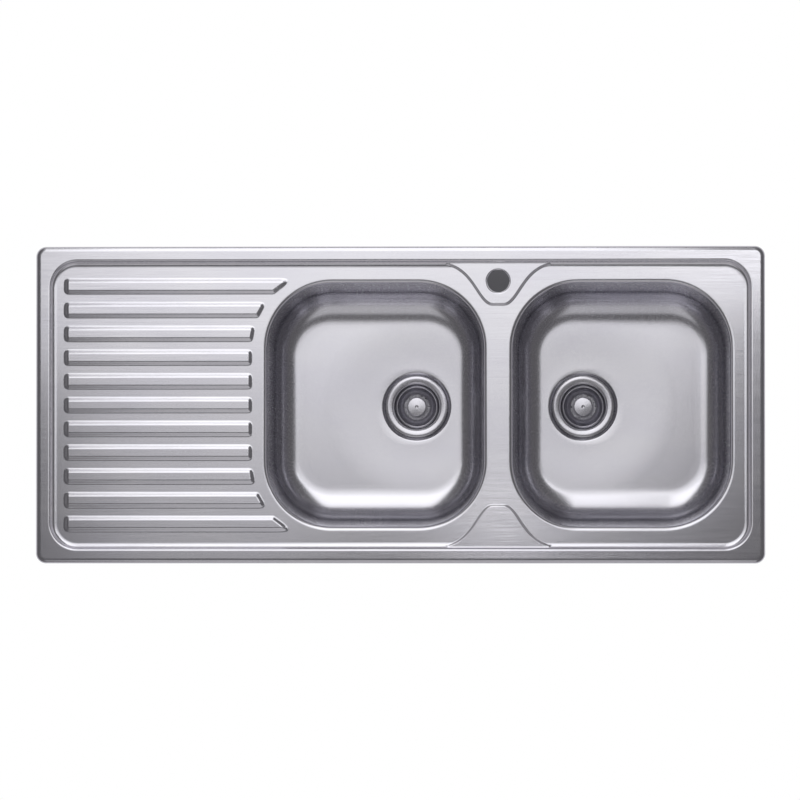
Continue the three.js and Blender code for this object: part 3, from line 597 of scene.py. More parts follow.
def turned(profile: Sequence[tuple[float, ...]], centre: Pair, steps: int = 96) -> Skin:
    """Turns a closed profile round a vertical axis.

    Args:
        profile: Its corners, as for rounded_profile.
        centre: The axis's place.
        steps: The steps of a full turn.

    Returns:
        The closed skin.
    """
    skin = Skin()
    corners = rounded_profile(profile)
    skin.loft([lift(circle(centre, radius, steps), z) for radius, z in corners], closed=True)
    return skin


def piece_of(name: str, skin: Skin, material: Material, crease: float = CREASE) -> Object:
    """Makes a smooth shaded object of a closed skin."""
    mesh = skin.mesh(name)
    shade(mesh, crease)
    return new_object(name, mesh, material)


def smooth_copy(node: Object, material: Material) -> Mesh:
    """Copies a CAD node's mesh, joins its loose triangles and shades it smooth.

    Args:
        node: The CAD node.
        material: The copy's material.

    Returns:
        The copy.
    """
    copy = node.data.copy()
    work = bmesh.new()
    work.from_mesh(copy)
    bmesh.ops.remove_doubles(work, verts=work.verts, dist=WELD * MM)
    work.to_mesh(copy)
    work.free()
    copy.materials.clear()
    copy.materials.append(material)
    shade(copy)
    return copy


# ---------- Geometry node trees ----------


def geometry_tree(name: str, **inputs: Sequence[str]) -> tuple[Tree, Node]:
    """Starts a geometry node tree.

    Args:
        name: The tree's name.
        inputs: The labels of its inputs, by the kind of their sockets.

    Returns:
        The tree and its input node.
    """
    tree = bpy.data.node_groups.new(name, "GeometryNodeTree")
    tree.interface.new_socket("Geometry", in_out="INPUT", socket_type="NodeSocketGeometry")
    for kind, labels in inputs.items():
        for label in labels:
            tree.interface.new_socket(label, in_out="INPUT", socket_type="NodeSocket" + kind)
    tree.interface.new_socket("Geometry", in_out="OUTPUT", socket_type="NodeSocketGeometry")
    return tree, tree.nodes.new("NodeGroupInput")


def end_tree(tree: Tree, geometry: Socket, material: Material) -> None:
    """Ends a tree in plain meshes with one material."""
    real = add_node(tree, "GeometryNodeRealizeInstances", {"Geometry": geometry})
    finish = {"Geometry": real.outputs["Geometry"], "Material": material}
    dressed = add_node(tree, "GeometryNodeSetMaterial", finish)
    add_node(tree, "NodeGroupOutput", {"Geometry": dressed.outputs["Geometry"]})


def grown(name: str, tree: Tree, sizes: dict[str, object], seed: Mesh) -> Mesh:
    """Runs a tree and keeps its result as a plain mesh.

    Args:
        name: The mesh's name.
        tree: The geometry node tree.
        sizes: Values for its named inputs.
        seed: The mesh that it starts from.

    Returns:
        The mesh.
    """
    host = bpy.data.objects.new(name + "_grown", seed)
    bpy.context.scene.collection.objects.link(host)
    modifier = host.modifiers.new("Grow", "NODES")
    modifier.node_group = tree
    for item in tree.interface.items_tree:
        if item.in_out == "INPUT" and item.name in sizes:
            modifier[item.identifier] = sizes[item.name]
    bpy.context.view_layer.update()
    evaluated = host.evaluated_get(bpy.context.evaluated_depsgraph_get())
    made = bpy.data.meshes.new_from_object(evaluated)
    host.modifiers.remove(modifier)
    bpy.data.objects.remove(host)
    made.name = name
    return made


def pierce_tree(material: Material) -> Tree:
    """Makes the tree that drills two rings of holes through a turned piece."""
    tree, start = geometry_tree(
        "Rings of holes",
        Float=("Middle", "Height", "Reach", "Hole radius", "Outer ring", "Inner ring"),
        Int=("Outer holes", "Inner holes"),
    )
    size = start.outputs
    drill = add_node(
        tree,
        "GeometryNodeMeshCylinder",
        {"Vertices": 20, "Radius": size["Hole radius"], "Depth": size["Reach"]},
    )
    rings = add_node(tree, "GeometryNodeJoinGeometry")
    for label in ("Outer", "Inner"):
        ring = add_node(
            tree,
            "GeometryNodeMeshCircle",
            {"Vertices": size[label + " holes"], "Radius": size[label + " ring"]},
        )
        holes = add_node(
            tree,
            "GeometryNodeInstanceOnPoints",
            {"Points": ring.outputs["Mesh"], "Instance": drill.outputs["Mesh"]},
        )
        tree.links.new(holes.outputs["Instances"], rings.inputs["Geometry"])
    middle = add_node(tree, "ShaderNodeCombineXYZ", {"X": size["Middle"], "Z": size["Height"]})
    moved = add_node(
        tree,
        "GeometryNodeTransform",
        {"Geometry": rings.outputs["Geometry"], "Translation": middle.outputs["Vector"]},
    )
    drills = add_node(tree, "GeometryNodeRealizeInstances", {"Geometry": moved.outputs["Geometry"]})
    cut = add_node(
        tree,
        "GeometryNodeMeshBoolean",
        {"Mesh 1": size["Geometry"], "Mesh 2": drills.outputs["Geometry"]},
        operation="DIFFERENCE",
    )
    end_tree(tree, cut.outputs["Mesh"], material)
    return tree


def thread_tree(material: Material) -> Tree:
    """Makes the tree that winds a thread's ridge round a shank."""
    labels = ("Middle X", "Middle Y", "Foot", "Radius", "Pitch", "Turns", "Ridge")
    tree, start = geometry_tree("Screw thread", Float=labels)
    size = start.outputs
    factors = {0: size["Turns"], 1: size["Pitch"]}
    height = add_node(tree, "ShaderNodeMath", factors, operation="MULTIPLY")
    line = add_node(
        tree,
        "GeometryNodeCurveSpiral",
        {
            "Resolution": 24,
            "Rotations": size["Turns"],
            "Start Radius": size["Radius"],
            "End Radius": size["Radius"],
            "Height": height.outputs["Value"],
        },
    )
    section = add_node(
        tree, "GeometryNodeCurvePrimitiveCircle", {"Resolution": 4, "Radius": size["Ridge"]}
    )
    curves = {"Curve": line.outputs["Curve"], "Profile Curve": section.outputs["Curve"]}
    ridge = add_node(tree, "GeometryNodeCurveToMesh", {**curves, "Fill Caps": True})
    foot = {"X": size["Middle X"], "Y": size["Middle Y"], "Z": size["Foot"]}
    where = add_node(tree, "ShaderNodeCombineXYZ", foot)
    moved = add_node(
        tree,
        "GeometryNodeTransform",
        {"Geometry": ridge.outputs["Mesh"], "Translation": where.outputs["Vector"]},
    )
    both = add_node(tree, "GeometryNodeJoinGeometry", {"Geometry": moved.outputs["Geometry"]})
    tree.links.new(size["Geometry"], both.inputs["Geometry"])
    end_tree(tree, both.outputs["Geometry"], material)
    return tree


def rib_tree(material: Material) -> Tree:
    """Makes the tree that presses the ribs, each point by how far inside an outline it lies."""
    tree, start = geometry_tree("Pressed ribs", Float=("Rib height", "Flank width"))
    inside = add_node(
        tree, "GeometryNodeInputNamedAttribute", {"Name": RIB_INSET}, data_type="FLOAT"
    )
    share = add_node(
        tree,
        "ShaderNodeMapRange",
        {"Value": inside.outputs["Attribute"], "From Max": start.outputs["Flank width"]},
        interpolation_type="SMOOTHSTEP",
    )
    rise = add_node(
        tree,
        "ShaderNodeMath",
        {0: share.outputs["Result"], 1: start.outputs["Rib height"]},
        operation="MULTIPLY",
    )
    offset = add_node(tree, "ShaderNodeCombineXYZ", {"Z": rise.outputs["Value"]})
    pressed = add_node(
        tree,
        "GeometryNodeSetPosition",
        {"Geometry": start.outputs["Geometry"], "Offset": offset.outputs["Vector"]},
    )
    end_tree(tree, pressed.outputs["Geometry"], material)
    return tree


def setting_tree(material: Material) -> Tree:
    """Makes the tree that sets a part out at points, each turned by the point's own angle."""
    tree, start = geometry_tree("Parts set out round the rim", Object=("Part",))
    angle = add_node(tree, "GeometryNodeInputNamedAttribute", {"Name": TURN}, data_type="FLOAT")
    turn = add_node(tree, "ShaderNodeCombineXYZ", {"Z": angle.outputs["Attribute"]})
    shape = add_node(tree, "GeometryNodeObjectInfo", {"Object": start.outputs["Part"]})
    parts = add_node(
        tree,
        "GeometryNodeInstanceOnPoints",
        {
            "Points": start.outputs["Geometry"],
            "Instance": shape.outputs["Geometry"],
            "Rotation": turn.outputs["Vector"],
        },
    )
    end_tree(tree, parts.outputs["Instances"], material)
    return tree


# ---------- The pressed top ----------


def inset_ring(ring: Sequence[Pair], distance: float) -> list[Pair]:
    """Moves a ring inwards by a distance, each corner along its bisector."""
    made = []
    for i, point in enumerate(ring):
        before, here = Vector(ring[i - 1]), Vector(point)
        after = Vector(ring[(i + 1) % len(ring)])
        first = Vector((before.y - here.y, here.x - before.x)).normalized()
        second = Vector((here.y - after.y, after.x - here.x)).normalized()
        bisector = first + second
        made.append(tuple(here + bisector * (distance / bisector.dot(first))))
    return made


def distance_inside(ring: Sequence[Pair], x: float, y: float) -> float:
    """Measures how far inside a ring a point lies, below 0 outside."""
    nearest, inside = math.inf, False
    for i, (bx, by) in enumerate(ring):
        ax, ay = ring[i - 1]
        dx, dy = bx - ax, by - ay
        along = ((x - ax) * dx + (y - ay) * dy) / max(TINY, dx * dx + dy * dy)
        share = min(1.0, max(0.0, along))
        nearest = min(nearest, math.hypot(x - ax - share * dx, y - ay - share * dy))
        if (ay > y) != (by > y) and x < ax + (y - ay) * dx / dy:
            inside = not inside
    return nearest if inside else -nearest


def rounded_polygon(corners: Sequence[Pair], radius: float, steps: int = 8) -> list[Pair]:
    """Rounds every corner of a polygon.

    Args:
        corners: Its corners.
        radius: The rounding's radius.
        steps: The steps of a rounding.

    Returns:
        The ring.
    """
    made = []
    for i, corner in enumerate(corners):
        here = Vector(corner)
        back = (Vector(corners[i - 1]) - here).normalized()
        onward = (Vector(corners[(i + 1) % len(corners)]) - here).normalized()
        reach = radius / math.tan(back.angle(onward) / 2)
        made.extend(corner_curve(here + back * reach, here, here + onward * reach, steps))
    return made


@dataclass
class BowlPlace:
    """A bowl's place and size at its mouth, read from the frame."""

    side: Side
    centre: float
    length: float
    width: float
    drain: float
    corner: float = 110.0

    def ring(self, across: float, along: float) -> list[Pair]:
        """Gives the mouth's outline moved in by a distance along X and one along Y."""
        length, width = self.length - 2 * across, self.width - 2 * along
        corner = self.corner - (across + along) / 2
        return rounded_rectangle(length, width, corner, self.centre, BOWL_CORNER, BOWL_SIDE)


@dataclass
class PressedTop:
    """The rim, deck, drainer and ledges, pressed from one sheet."""

    length: float
    width: float
    bowls: Sequence[BowlPlace]
    corner: float = 16.0
    rim_height: float = 6.0
    roll_width: float = 8.0
    roll_height: float = 5.0
    rim_width: float = 19.5
    rim_step: float = 7.0
    step_slope: float = math.radians(55)
    crest_radius: float = 5.0
    crest_steps: int = 8
    foot_steps: int = 12
    roll_steps: int = 12
    deck_corner: float = 32.0
    deck_corner_steps: int = 20
    beside: float = 0.6  # how far from an edge a second line keeps the flat beside it flat
    mouth_roll: float = 8.0
    seam_land: float = 1.0
    rib_pitch: float = 37.5
    rib_width: float = 26.6
    rib_height: float = 3.2
    rib_flank: float = 8.0
    rib_flank_steps: int = 10
    rib_corner: float = 9.0
    least_corner: float = 0.6
    rib_end_margin: float = 43.4
    rib_bowl_gap: float = 15.0
    ledge_height: float = 2.5
    ledge_depth: float = 61.0
    ledge_half_width: float = 84.0
    ledge_nose_half_width: float = 8.0
    ledge_flank: float = 4.5
    ledge_flank_steps: int = 8
    ledge_blend: float = 1.2
    ledge_nose_pull: float = 0.4  # where the flare leaves the nose and meets the foot, as shares
    ledge_foot_pull: float = 0.46
    ledge_foot_rise: float = 0.12
    ledge_steps: int = 24
    blend_pitch: float = 1.6
    blend_stagger: float = 0.31
    tap_from_back: float = 55.0
    tap_radius: float = 17.5
    tap_roll: float = 3.0
    tap_collar: float = 0.5
    tap_steps: int = 72
    buried: float = 3.0
    on_deck: float = 1e-6  # a point no higher than this above the deck lies on it

    def __post_init__(self) -> None:
        """Works out the step's curves and the ledges' outlines."""
        self.deck_z = self.rim_height - self.rim_step
        self.foot_radius = self.rim_step / (1 - math.cos(self.step_slope)) - self.crest_radius
        bends = self.foot_radius + self.crest_radius
        self.deck_inset = self.rim_width + bends * math.sin(self.step_slope)
        self.axis = (self.bowls[0].centre + self.bowls[1].centre) / 2
        self.ledges = [self.ledge_outline(end) for end in (1, -1)]

    def outline(self, inset: float) -> list[Pair]:
        """Gives the sink's own outline moved in by a distance."""
        length, width = self.length - 2 * inset, self.width - 2 * inset
        return rounded_rectangle(length, width, self.corner - inset)

    def deck_outline(self, inset: float) -> list[Pair]:
        """Gives the outline of the step round the deck at a distance from the sink's edge."""
        radius = self.deck_corner + self.deck_inset - inset
        length, width = self.length - 2 * inset, self.width - 2 * inset
        return rounded_rectangle(length, width, radius, corner=self.deck_corner_steps)

    def ledge_outline(self, end: int) -> list[Pair]:
        """Gives the outline of the ledge at the back (1) or the front (-1)."""
        nose = self.width / 2 - self.deck_inset - self.ledge_depth
        foot = self.width / 2 - self.deck_inset + self.buried
        foot_pull = self.ledge_half_width * self.ledge_foot_pull
        flare = [
            Vector((self.ledge_nose_half_width, nose)),
            Vector((self.ledge_half_width * self.ledge_nose_pull, nose)),
            Vector((foot_pull, foot - self.ledge_foot_rise * self.ledge_depth)),
            Vector((self.ledge_half_width, foot)),
        ]
        half = []
        for t in fractions(self.ledge_steps):
            weights = ((1 - t) ** 3, 3 * t * (1 - t) ** 2, 3 * t * t * (1 - t), t**3)
            half.append(tuple(sum((w * p for w, p in zip(weights, flare)), Vector((0, 0)))))
        half.append((self.ledge_half_width, self.width / 2 - self.rim_width / 2))
        whole = half + [(-x, y) for x, y in reversed(half)]
        ring = [(self.axis + x, end * y) for x, y in whole]
        return ring if end > 0 else ring[::-1]

    def inset_at(self, x: float, y: float) -> float:
        """Measures how far a point lies inside the sink's edge, round the deck's corners."""
        radius = self.deck_corner + self.deck_inset
        across = abs(x) - (self.length / 2 - radius)
        along = abs(y) - (self.width / 2 - radius)
        outside = math.hypot(max(across, 0), max(along, 0)) + min(max(across, along), 0)
        return radius - outside

    def step_height(self, inset: float) -> float:
        """Gives the height of the rim, the step or the deck at a distance from the edge."""
        crest_end = self.rim_width + self.crest_radius * math.sin(self.step_slope)
        if inset <= self.rim_width:
            return self.rim_height
        if inset <= crest_end:
            over_centre = math.sqrt(self.crest_radius**2 - (inset - self.rim_width) ** 2)
            return self.rim_height - self.crest_radius + over_centre
        if inset < self.deck_inset:
            under_centre = math.sqrt(self.foot_radius**2 - (self.deck_inset - inset) ** 2)
            return self.deck_z + self.foot_radius - under_centre
        return self.deck_z

    def height(self, x: float, y: float) -> float:
        """Gives the height of the rim, the deck and the ledges at a point."""
        base = self.step_height(self.inset_at(x, y))
        if abs(x - self.axis) > self.ledge_half_width + self.buried:
            return base
        inside = distance_inside(self.ledges[0 if y > 0 else 1], x, y)
        if inside <= 0:
            return base
        raised = self.deck_z + self.ledge_height * eased(min(1.0, inside / self.ledge_flank))
        if base <= self.deck_z + self.on_deck:
            return max(base, raised)
        gap = max(0.0, self.ledge_blend - abs(raised - base))
        return max(base, raised) + gap * gap / (4 * self.ledge_blend)

    def rib_end(self, y: float) -> float:
        """Gives where the ribs stop short of the left bowl, at a distance from the middle line."""
        bowl = self.bowls[0]
        radius = bowl.corner + self.rib_bowl_gap
        beyond = max(0.0, abs(y) - (bowl.width / 2 - bowl.corner))
        reach = math.sqrt(max(0.0, radius**2 - beyond**2))
        return bowl.centre - (bowl.length / 2 - bowl.corner) - reach

    def rib_outlines(self, inset: float) -> list[list[Pair]]:
        """Gives the ribs' outlines moved in by a distance, their ends following the left bowl."""
        start = -self.length / 2 + self.rib_end_margin
        radius = max(self.rib_corner - inset, self.least_corner)
        count = int((self.width - 2 * self.deck_inset) // self.rib_pitch)
        made = []
        for i in range(count):
            middle = (i - (count - 1) / 2) * self.rib_pitch
            front, back = middle - self.rib_width / 2, middle + self.rib_width / 2
            corners = [(start, front), (self.rib_end(front), front)]
            corners += [(self.rib_end(back), back), (start, back)]
            made.append(rounded_polygon(inset_ring(corners, inset), radius))
        return made

    def rings(self) -> tuple[list[tuple[list[Pair], float]], list[list[Pair]]]:
        """Lays out the lines that the deck's mesh follows.

        Returns:
            The rings, each with how far inside a rib it lies, and the rings that bound the mesh.
        """
        beside = self.beside
        crest_turns = [self.step_slope * s for s in fractions(self.crest_steps)]
        foot_turns = [self.step_slope * s for s in fractions(self.foot_steps)]
        crest = [self.rim_width + self.crest_radius * math.sin(turn) for turn in crest_turns]
        foot = [self.deck_inset - self.foot_radius * math.sin(turn) for turn in foot_turns]
        steps = [self.rim_width - beside, *crest, *foot[:-1], self.deck_inset + beside]
        rings = [(self.deck_outline(inset), 0.0) for inset in steps]
        rings.append((self.outline(self.roll_width + beside), 0.0))
        flank = [self.ledge_flank * s for s in fractions(self.ledge_flank_steps)]
        for ledge in self.ledges:
            insets = [-beside, *flank, self.ledge_flank + beside]
            rings.extend((inset_ring(ledge, inset), 0.0) for inset in insets)
        flank = [self.rib_flank * s for s in fractions(self.rib_flank_steps)]
        for depth in [-beside, *flank, self.rib_flank + beside]:
            rings.extend((outline, max(depth, 0.0)) for outline in self.rib_outlines(depth))
        rings.extend((bowl.ring(-beside, -beside), 0.0) for bowl in self.bowls)
        rings.append((self.tap_ring(self.tap_radius + self.tap_roll + beside), 0.0))
        bounds = [self.outline(self.roll_width), *(bowl.ring(0, 0) for bowl in self.bowls)]
        bounds.append(self.tap_ring(self.tap_radius + self.tap_roll))
        return rings, bounds

    def tap_ring(self, radius: float) -> list[Pair]:
        """Gives a circle round the tap hole's axis."""
        return circle((self.axis, self.width / 2 - self.tap_from_back), radius, self.tap_steps)

    def blend_points(self) -> list[Pair]:
        """Gives a fine grid where the ledges run into the step."""
        pitch = self.blend_pitch
        across = int(2 * (self.ledge_half_width + self.buried) / pitch)
        along = int((self.deck_inset + self.buried - self.rim_width) / pitch)
        made = []
        for end in (1, -1):
            for i in range(across + 1):
                for j in range(along + 1):
                    x = self.axis + (i - across / 2) * pitch + self.blend_stagger * (j % 2)
                    y = self.width / 2 - self.rim_width - (j + 0.5) * pitch
                    made.append((x, end * y))
        return made

    def skin(self) -> tuple[Skin, list[float]]:
        """Lays out the top's upper face, its ribs still flat.

        Returns:
            The open skin, and how far inside a rib each point lies.
        """
        precision = 1e-4
        rings, bounds = self.rings()
        flat: list[Pair] = []
        rib_inset: list[float] = []
        edges: list[tuple[int, int]] = []
        for ring, depth in [(bound, 0.0) for bound in bounds] + rings:
            start = len(flat)
            flat.extend(ring)
            rib_inset.extend([depth] * len(ring))
            edges.extend((start + i, start + (i + 1) % len(ring)) for i in range(len(ring)))
        extra = self.blend_points()
        flat.extend(extra)
        rib_inset.extend([0.0] * len(extra))
        places = [Vector(p) for p in flat]
        points, _, faces, origins, _, _ = delaunay_2d_cdt(places, edges, [], 0, precision)
        skin = Skin()
        depths = []
        for point, origin in zip(points, origins):
            depths.append(max((rib_inset[i] for i in origin), default=0.0))
            on_edge = origin and min(origin) < len(bounds[0])
            height = self.rim_height if on_edge else self.height(point.x, point.y)
            skin.points.append((point.x, point.y, height))
        holes = bounds[1:]
        for face in faces:
            middle = sum((points[i] for i in face), Vector((0, 0))) / len(face)
            if all(distance_inside(hole, middle.x, middle.y) < 0 for hole in holes):
                skin.faces.append(tuple(face))
        self.add_rolls(skin)
        depths.extend([0.0] * (len(skin.points) - len(depths)))
        return skin, depths

    def add_rolls(self, skin: Skin) -> None:
        """Adds the rolled outer edge, the mouths and the tap hole's collar to the deck."""
        turns = [math.pi / 2 * s for s in fractions(self.roll_steps)]
        quarter = [(math.sin(a), 1 - math.cos(a)) for a in turns]
        edge = [
            (self.roll_width * (1 - out), self.rim_height - self.roll_height * fall)
            for out, fall in quarter
        ]
        skin.loft([lift(self.outline(inset), z) for inset, z in [*edge, (0.0, 0.0)]][::-1])
        roll = self.mouth_roll
        mouth = [(roll * out, self.deck_z - roll * fall) for out, fall in quarter]
        mouth.append((roll, self.deck_z - roll - self.seam_land))
        for bowl in self.bowls:
            skin.loft([lift(bowl.ring(inset, inset), z) for inset, z in mouth][::-1])
        top, roll = self.deck_z + self.ledge_height, self.tap_roll
        collar = [(self.tap_radius + roll - roll * out, top - roll * fall) for out, fall in quarter]
        collar.append((self.tap_radius, top - roll - self.tap_collar))
        skin.loft([lift(self.tap_ring(radius), z) for radius, z in collar][::-1])

    def build(self, palette: Palette) -> None:
        """Makes the top's upper face, presses the ribs into it and gives it its thickness."""
        skin, depths = self.skin()
        flat = skin.mesh("top_flat", merge=0.0, outwards=False)
        inside = flat.attributes.new(RIB_INSET, "FLOAT", "POINT")
        inside.data.foreach_set("value", [MM * depth for depth in depths])
        sizes = {"Rib height": MM * self.rib_height, "Flank width": MM * self.rib_flank}
        pressed = grown("pressed_top", rib_tree(palette.top), sizes, flat)
        work = bmesh.new()
        work.from_mesh(pressed)
        bmesh.ops.remove_doubles(work, verts=work.verts, dist=2 * WELD * MM)
        bmesh.ops.recalc_face_normals(work, faces=work.faces)
        up = max(work.faces, key=lambda face: face.calc_area())
        if up.normal.z < 0:
            bmesh.ops.reverse_faces(work, faces=work.faces)
        thicken(work, MM * SHEET)
        work.to_mesh(pressed)
        work.free()
        shade(pressed, PRESSED_CREASE)
        top = new_object("pressed_top", pressed, palette.top)
        place(top, "sink", "stainless_steel", ["sink_top"])


def thicken(work: bmesh.types.BMesh, thickness: float) -> None:
    """Gives an open skin the thickness of its sheet, on its inner side.

    Args:
        work: The skin, its faces pointing out.
        thickness: The sheet's thickness in metres.
    """
    work.normal_update()
    rims = [loop for edge in work.edges if edge.is_boundary for loop in edge.link_loops]
    faces = list(work.faces)
    inner = {}
    for vertex in list(work.verts):
        inner[vertex] = work.verts.new(vertex.co - vertex.normal * thickness)
    for face in faces:
        work.faces.new([inner[vertex] for vertex in reversed(face.verts)])
    for loop in rims:
        start, end = loop.vert, loop.link_loop_next.vert
        work.faces.new([end, start, inner[start], inner[end]])
    work.normal_update()


# ---------- The bowls ----------


@dataclass
class DrawnBowl:
    """A bowl drawn from one sheet: leaning walls, a deep curve, a floor and a recess in it."""

    place: BowlPlace
    seam_z: float
    floor_z: float
    mouth_roll: float = 8.0
    lean: Pair = (5.5, 9.0)
    curve_width: Pair = (38.5, 52.0)
    curve_height: float = 45.0
    floor_fall: float = 2.5
    fall_reach: float = 90.0
    recess_depth: float = 4.0
    recess_radius: float = 56.0
    recess_flat: float = 49.0
    hole_radius: float = 38.5
    wall_steps: int = 6
    curve_steps: int = 22
    floor_steps: int = 12
    recess_steps: int = 8
    beside: float = 1.0  # how far inside the recess's flat a second ring keeps it flat

    def round_drain(self, radius: float, z: float) -> list[Point]:
        """Gives a circle round the drain, in step with the wall's rings."""
        steps = 4 * (BOWL_CORNER + BOWL_SIDE)
        return lift(circle((self.place.drain, 0.0), radius, steps, BOWL_SIDE / 2), z)

    def floor_height(self, x: float, y: float) -> float:
        """Gives the floor's height at a point, falling to the recess over a set distance."""
        away = math.hypot(x - self.place.drain, y) - self.recess_radius
        risen = eased(min(1.0, max(0.0, away / self.fall_reach)))
        return self.floor_z - self.floor_fall * (1 - risen)

    def wall(self, depth: float) -> list[list[Point]]:
        """Gives the rings of the leaning walls, from the seam down, at a depth inside the sheet."""
        wall_foot = self.floor_z + self.curve_height
        made = []
        for share in fractions(self.wall_steps):
            across, along = (self.mouth_roll + lean * share for lean in self.lean)
            z = self.seam_z + (wall_foot - self.seam_z) * share
            made.append(lift(self.place.ring(across - depth, along - depth), z))
        return made

    def curve(self, depth: float) -> list[list[Point]]:
        """Gives the rings of the curve from the walls to the floor, at a depth inside the sheet."""
        wall_foot = self.floor_z + self.curve_height
        inner = [self.mouth_roll + lean + width for lean, width in zip(self.lean, self.curve_width)]
        drops = [wall_foot - self.floor_height(x, y) for x, y in self.place.ring(*inner)]
        made = []
        for share in fractions(self.curve_steps)[1:]:
            angle = math.pi / 2 * share
            out, sunk = depth * math.cos(angle), math.sin(angle)
            widths = zip(inner, self.curve_width)
            across, along = (edge - width * math.cos(angle) - out for edge, width in widths)
            flat = self.place.ring(across, along)
            heights = [wall_foot - (drop + depth) * sunk for drop in drops]
            made.append([(x, y, z) for (x, y), z in zip(flat, heights)])
        return made

    def floor(self, edge: Sequence[Point], depth: float) -> list[list[Point]]:
        """Gives the rings of the floor and the recess in it.

        Args:
            edge: The ring where the curve ends.
            depth: How far inside the sheet the rings lie.

        Returns:
            The rings, from the edge in to the hole.
        """
        recess_top = self.floor_z - self.floor_fall
        brim = self.round_drain(self.recess_radius, recess_top - depth)
        made = []
        for share in fractions(self.floor_steps)[1:-1]:
            mixed = []
            for a, b in zip(edge, brim):
                x, y = (a[axis] + (b[axis] - a[axis]) * share for axis in (0, 1))
                mixed.append((x, y, self.floor_height(x, y) - depth))
            made.append(mixed)
        made.append(brim)
        slope = self.recess_radius - self.recess_flat
        for share in fractions(self.recess_steps)[1:]:
            z = recess_top - depth - self.recess_depth * eased(share)
            made.append(self.round_drain(self.recess_radius - slope * share, z))
        z = recess_top - depth - self.recess_depth
        made.append(self.round_drain(self.recess_flat - self.beside, z))
        made.append(self.round_drain(self.hole_radius, z))
        return made

    def face(self, depth: float) -> list[list[Point]]:
        """Gives the rings of one face of the sheet, from the seam to the hole in the floor."""
        curve = self.curve(depth)
        return [*self.wall(depth), *curve, *self.floor(curve[-1], depth)]

    def build(self, palette: Palette) -> None:
        """Makes the bowl, both faces of its sheet."""
        name = f"bowl_{self.place.side.value}"
        skin = Skin()
        skin.loft([*self.face(0), *reversed(self.face(SHEET))], closed=True)
        bowl = piece_of("drawn_" + name, skin, palette.bowl)
        place(bowl, "sink", "stainless_steel", [name])


# ---------- The wastes ----------


